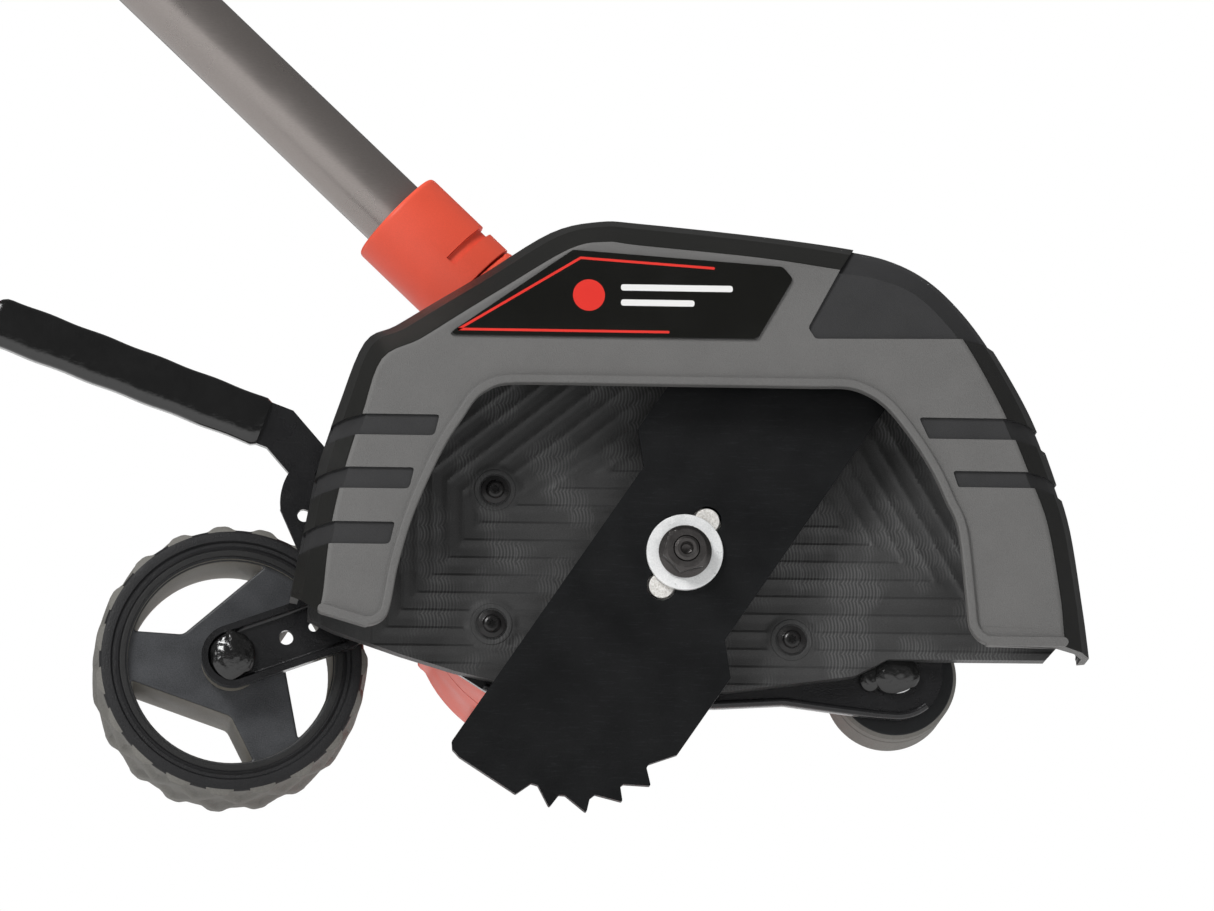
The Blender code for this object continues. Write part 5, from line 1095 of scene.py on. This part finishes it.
def second_handle():
    inner = UPPER_R + 0.3
    block = [on_tube_xz(AUX_AT - 15, -inner - 5), on_tube_xz(AUX_AT + 15, -inner - 5),
             on_tube_xz(AUX_AT + 15, inner + 4), on_tube_xz(AUX_AT + 9, AUX_SIDE + 9),
             on_tube_xz(AUX_AT - 9, AUX_SIDE + 9), on_tube_xz(AUX_AT - 15, inner + 4)]
    outline = rounded([(x, z, r) for (x, z), r in zip(block, (6, 6, 3, 8, 8, 3))], 8)
    pivot = (AUX_PIVOT.x, AUX_PIVOT.z)
    clamp = made("clamp_block", soft_prism(outline, TUBE_Y - CLAMP_HALF, TUBE_Y + CLAMP_HALF, 2.0,
                                           [circle(*pivot, 4.3, 40)], 4, both=True), BLACK_PLASTIC)
    boolean(clamp, made("clamp_bore", rod(AUX_AT - 30, AUX_AT + 30, inner, base=on_tube(0), axis=UP),
                        BLACK_PLASTIC))
    split = [on_tube_xz(AUX_AT - 20, -inner - 10), on_tube_xz(AUX_AT + 20, -inner - 10),
             on_tube_xz(AUX_AT + 20, -inner + 2), on_tube_xz(AUX_AT - 20, -inner + 2)]
    boolean(clamp, made("clamp_split", prism(split, TUBE_Y - 0.8, TUBE_Y + 0.8), BLACK_PLASTIC))
    show(clamp, "upper", ["aux_handle_clamp"])
    low, high = span("aux_handle_bolt")
    base = at(pivot)
    section = [(low, 0.0), (low, 6.5), (low + 4.2, 6.5), (low + 4.2, 4.0), (high, 4.0), (high, 0.0)]
    piece("clamp_bolt", lathe(soften(section, [0, 1.5, 0.3, 0, 0.5, 0], 4), base), ZINC_AND_PAINTED_SHEEN, "upper",
          ["aux_handle_bolt"])
    seat, top = span("aux_handle_knob")
    lobes = []
    for k in range(120):
        a = 2 * math.pi * k / 120
        reach = KNOB_R + KNOB_LOBE * math.cos(KNOB_LOBES * a)
        lobes.append((pivot[0] + reach * math.cos(a), pivot[1] + reach * math.sin(a)))
    piece("clamp_knob", soft_prism(lobes, seat, top, 3.0, steps=6), BLACK_PLASTIC, "knob",
          ["aux_handle_knob"])
    ear = CLAMP_HALF + 1.0 + EAR / 2
    path = [(-ear, 0.0), (-ear, 14.0), (-ear - 6.0, 24.0), (-AUX_HALF_W + 4.0, 40.0), (-AUX_HALF_W, 52.0),
            (-AUX_HALF_W, AUX_REACH - 20.0), (-AUX_HALF_W + 6.0, AUX_REACH - 6.0),
            (-AUX_HALF_W + 20.0, AUX_REACH)]
    route = smooth_line(path, 8)
    route = [(max(-AUX_HALF_W, y), up) for y, up in route]
    route += [(-y, up) for y, up in reversed(route)]
    rows = []
    for i, (y, up) in enumerate(route):
        a, b = route[max(0, i - 1)], route[min(len(route) - 1, i + 1)]
        heading = Vector((b[0] - a[0], b[1] - a[1])).normalized()
        flat = Vector((0.0, -heading.y, 0.0)) + ACROSS * heading.x
        blend = min(1.0, max(0.0, (up - 10.0) / 12.0))
        half = EAR / 2 + (8.95 - EAR / 2) * blend
        centre = AUX_PIVOT + Vector((0, y, 0)) + ACROSS * up
        rows.append([centre + flat * (half * math.cos(2 * math.pi * k / 28))
                     + UP * (8.9 * math.sin(2 * math.pi * k / 28)) for k in range(28)])
    eyes = [rod(TUBE_Y + s * ear - EAR / 2, TUBE_Y + s * ear + EAR / 2, 11.0, 1.0, base=base)
            for s in (-1, 1)]
    piece("second_handle_loop", merged(loft(rows), *eyes), BLACK_PLASTIC, "aux_handle", ["aux_handle_loop"],
          sharp=40)
    half = AUX_HALF_W - 21.0
    ribs = []
    for k in range(43):
        y = -half + 2.0 * k
        ribs += [(y, 13.2), (y + 0.5, 12.5), (y + 1.1, 12.5), (y + 1.6, 13.2)]
    section = [(-half, 9.3), (-half, 13.4)] + [p for p in ribs if abs(p[0]) < half - 1.5] + [(half, 13.4),
                                                                                             (half, 9.3)]
    piece("second_handle_grip", lathe(section, AUX_PIVOT + ACROSS * AUX_REACH), GRIP_RUBBER, "aux_handle",
          ["aux_handle_grip"])


# ---------------------------------------------------------------- rear handle and battery

HANDLE_AT = 820.0
HANDLE_HALF_W = 18.0
HANDLE_EDGE = ((-75, -20.0, 8), (30, -22.0, 30), (150, -27.0, 20), (176, -34.0, 10), (214, -34.0, 9),
               (214, 58.0, 10), (196, 66.0, 16), (120, 68.0, 60), (70, 66.0, 40), (24, 40.0, 30),
               (-10, 22.0, 20), (-75, 20.0, 8))
HAND_OPENING = ((44, -2.0, 10), (146, -5.0, 14), (164, 8.0, 14), (164, 30.0, 12), (140, 38.0, 30),
                (78, 38.0, 16), (50, 20.0, 14))


TRIGGER_A = (66.0, 98.0)
HANDLE_SCREWS = ((-20, -12.0), (30, -12.0), (150, -16.0), (185, 45.0), (110, 52.0))


def on_handle(a, b):
    return on_tube_xz(HANDLE_AT + a, b)


def plan(corners, steps=8):
    return [on_handle(a, b) for a, b in rounded(list(corners), steps)]


def rear_handle():
    outer, opening = plan(HANDLE_EDGE), plan(HAND_OPENING)
    slot_a = (TRIGGER_A[0] - 0.3, TRIGGER_A[1] + 0.3)
    for name, side in (("front", -1), ("rear", 1)):
        shell = made(f"handle_{name}", soft_prism(outer, TUBE_Y + side * 0.2, TUBE_Y + side * HANDLE_HALF_W,
                                                  5.0, [opening], 6), BLACK_PLASTIC, STRIP_DARK)
        tools = [rod(-90.0, 20.0, UPPER_R + 0.3, base=on_tube(HANDLE_AT), axis=UP),
                 prism([on_handle(a, b) for b in (30, 50) for a in (slot_a if b == 30 else slot_a[::-1])],
                       TUBE_Y - 6.8, TUBE_Y + 6.8)]
        if name == "front":
            face = TUBE_Y - HANDLE_HALF_W
            tools += [rod(face - 1.0, face + 4.0, 3.4, 0.2, base=at(on_handle(*spot)), sides=40)
                      for spot in HANDLE_SCREWS]
        if name == "rear":
            x, z = centre_xz("lock_off_button")
            tools.append(rod(level("lock_off_button", 0) - 4.5, TUBE_Y + 30.0, 6.3, 0.2, base=(x, 0.0, z),
                             sides=48))
        for tool in tools:
            boolean(shell, made("tool", tool, STRIP_DARK))
        show(shell, "upper", [f"handle_shell_{name}"], sharp=30)
    x, z = centre_xz("lock_off_button")
    low, high = span("lock_off_button")
    section = [(low, 0.0), (low, 6.0), (high - 0.6, 6.0), (high, 4.0), (high - 0.5, 0.0)]
    piece("lock_button", lathe(soften(section, [0, 0.3, 1.0, 0.6, 0], 4), (x, 0.0, z)), RED_PLASTIC,
          "lock_off", ["lock_off_button"])
    pull = ((66, 43.0, 1.0), (66, 34.0, 3.0), (74, 27.0, 8.0), (88, 29.0, 10.0), (98, 33.0, 3.0),
            (98, 43.0, 1.0))
    piece("trigger_pull", soft_prism(plan(pull), TUBE_Y - 6.5, TUBE_Y + 6.5, 1.6, (), 4, both=True),
          RED_PLASTIC, "trigger_lever", ["trigger"])


def battery():
    corners = ((214.3, -38.0, 4), (284, -37.9, 10), (291.9, -28.0, 6), (291.9, 52.0, 6), (284, 61.9, 10),
               (214.3, 61.9, 4))
    low, high = span("battery_pack")
    pack = made("battery_case", soft_prism(plan(corners), low, high, 4.0, (), 6, both=True), BLACK_PLASTIC,
                STRIP_DARK)

    def bar_tool(a0, a1, b0, b1, y0, y1):
        return prism([on_handle(a, b) for a, b in ((a0, b0), (a1, b0), (a1, b1), (a0, b1))], y0, y1)

    tools = [bar_tool(223.7, 246.3, 55.0, 80.0, TUBE_Y - 12.3, TUBE_Y + 12.3)]
    for k in range(4):
        tools.append(bar_tool(238 + 11 * k, 241 + 11 * k, -24.0, 46.0, low - 1.0, low + 0.9))
        tools.append(bar_tool(238 + 11 * k, 241 + 11 * k, -24.0, 46.0, high - 0.9, high + 1.0))
    for k in range(5):
        tools.append(bar_tool(290.9, 293.0, -18.0 + 14 * k, -14.0 + 14 * k, TUBE_Y - 26.0, TUBE_Y + 26.0))
    for tool in tools:
        boolean(pack, made("tool", tool, STRIP_DARK))
    show(pack, "battery", ["battery_pack"], sharp=30)
    latch = ((224.3, 58.5, 1.0), (245.7, 58.5, 1.0), (245.7, 66.0, 2.0), (224.3, 66.0, 2.0))
    button = made("battery_latch_look", soft_prism(plan(latch), TUBE_Y - 12.0, TUBE_Y + 12.0, 1.4, (), 4,
                                                   both=True), RED_PLASTIC)
    for k in range(4):
        boolean(button, made("tool", bar_tool(228 + 4 * k, 229.4 + 4 * k, 65.2, 67.0, TUBE_Y - 9.0,
                                              TUBE_Y + 9.0), RED_PLASTIC))
    show(button, "latch", ["battery_latch"])


# ---------------------------------------------------------------- carried-over CAD nodes

CARRIED = {
    "drive_gear": GEAR_STEEL, "motor_shaft": GEAR_STEEL, "motor_rotor": GEAR_STEEL, "motor_stator": COPPER,
    "cooling_fan": BLACK_PLASTIC, "gearbox_bulkhead": CAST, "spindle_bearing_front": ZINC_AND_PAINTED_SHEEN,
    "spindle_bearing_rear": ZINC_AND_PAINTED_SHEEN, "motor_bearing_front": ZINC_AND_PAINTED_SHEEN, "motor_bearing_rear": ZINC_AND_PAINTED_SHEEN,
    "handle_soft_grip": GRIP_RUBBER, "power_switch": BLACK_PLASTIC}


def carry_over():
    for node, finish in CARRIED.items():
        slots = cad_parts[node].material_slots
        if not slots:
            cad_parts[node].data.materials.append(finish)
        for slot in slots:
            slot.material = finish


# ---------------------------------------------------------------- stage, lights and camera

CAMERA_AZIMUTH, CAMERA_ELEVATION = -4.5, -10.5
CAMERA_DISTANCE, CAMERA_LENS = 3.0, 285.0
AIM = ORIGIN + Vector((-0.0242, 0.0, 0.0306))
FLOOR_HALF = 9.0


def floor():
    mesh = bpy.data.meshes.new("floor")
    corners = [(sx * FLOOR_HALF, sy * FLOOR_HALF) for sx, sy in ((-1, -1), (1, -1), (1, 1), (-1, 1))]
    mesh.from_pydata([(x, y, CAD_LOW.z - 0.0005) for x, y in corners], [], [(0, 1, 2, 3)])
    mat = bpy.data.materials.new("floor_pale")
    mat.use_nodes = True
    nodes, links = mat.node_tree.nodes, mat.node_tree.links
    shader = nodes["Principled BSDF"]
    shader.inputs["Base Color"].default_value = (0.45, 0.45, 0.45, 1.0)
    shader.inputs["Roughness"].default_value = 0.8
    shader.inputs["Emission Color"].default_value = (1.0, 1.0, 1.0, 1.0)
    shader.inputs["Emission Strength"].default_value = 0.45
    clear = nodes.new("ShaderNodeBsdfTransparent")
    pick = nodes.new("ShaderNodeMixShader")
    links.new(nodes.new("ShaderNodeNewGeometry").outputs["Backfacing"], pick.inputs["Fac"])
    links.new(shader.outputs["BSDF"], pick.inputs[1])
    links.new(clear.outputs["BSDF"], pick.inputs[2])
    links.new(pick.outputs["Shader"], nodes["Material Output"].inputs["Surface"])
    mesh.materials.append(mat)
    obj = bpy.data.objects.new("floor", mesh)
    bpy.context.scene.collection.objects.link(obj)


def light(name, spot, size, power, glossy=True):
    """A square lamp that faces the head; glossy is False for one that mustn't show in reflections."""
    data = bpy.data.lights.new(name, "AREA")
    data.size = size
    data.energy = power
    obj = bpy.data.objects.new(name, data)
    obj.location = spot
    obj.rotation_euler = (ORIGIN - Vector(spot)).to_track_quat("-Z", "Y").to_euler()
    obj.visible_camera = False
    obj.visible_glossy = glossy
    bpy.context.scene.collection.objects.link(obj)


def stage():
    floor()
    azimuth, elevation = math.radians(CAMERA_AZIMUTH), math.radians(CAMERA_ELEVATION)
    back = Vector((math.sin(azimuth) * math.cos(elevation), -math.cos(azimuth) * math.cos(elevation),
                   math.sin(elevation)))
    data = bpy.data.cameras.new("camera")
    data.lens = CAMERA_LENS
    data.sensor_width = 36.0
    data.clip_end = 50.0
    cam = bpy.data.objects.new("camera", data)
    cam.location = AIM + back * CAMERA_DISTANCE
    cam.rotation_euler = (-back).to_track_quat("-Z", "Y").to_euler()
    bpy.context.scene.collection.objects.link(cam)
    bpy.context.scene.camera = cam
    light("key", (-1.1, -2.0, 1.6), 1.0, 56.0)
    light("fill", (1.6, -2.2, 0.5), 1.2, 10.0, False)
    light("top", (0.0, 0.3, 2.2), 1.0, 26.0, False)
    light("rear", (0.9, 2.3, 0.9), 1.0, 36.0, False)
    world = bpy.data.worlds.new("studio")
    world.use_nodes = True
    nodes, links = world.node_tree.nodes, world.node_tree.links
    ambient = nodes["Background"]
    ambient.inputs["Color"].default_value = (1.0, 1.0, 1.0, 1.0)
    ambient.inputs["Strength"].default_value = 0.13
    seen = nodes.new("ShaderNodeBackground")
    pick = nodes.new("ShaderNodeMixShader")
    links.new(nodes.new("ShaderNodeLightPath").outputs["Is Camera Ray"], pick.inputs["Fac"])
    links.new(ambient.outputs["Background"], pick.inputs[1])
    links.new(seen.outputs["Background"], pick.inputs[2])
    links.new(pick.outputs["Shader"], nodes["World Output"].inputs["Surface"])
    seen.inputs["Color"].default_value = (1.0, 1.0, 1.0, 1.0)
    bpy.context.scene.world = world
    bpy.context.scene.view_settings.view_transform = "Standard"


guard()
leg_lips()
label()
back_plate()
for number in (1, 2, 3, 4):
    screw(f"guard_screw_{number}", SCREW_BLACK, -1.0)
for number in (1, 2):
    screw(f"housing_screw_{number}", ZINC_AND_PAINTED_SHEEN, 1.0)
chassis()
blade_stack()
lever()
arm()
wheel()
roller()
tubes()
housing()
second_handle()
rear_handle()
battery()
carry_over()
stage()
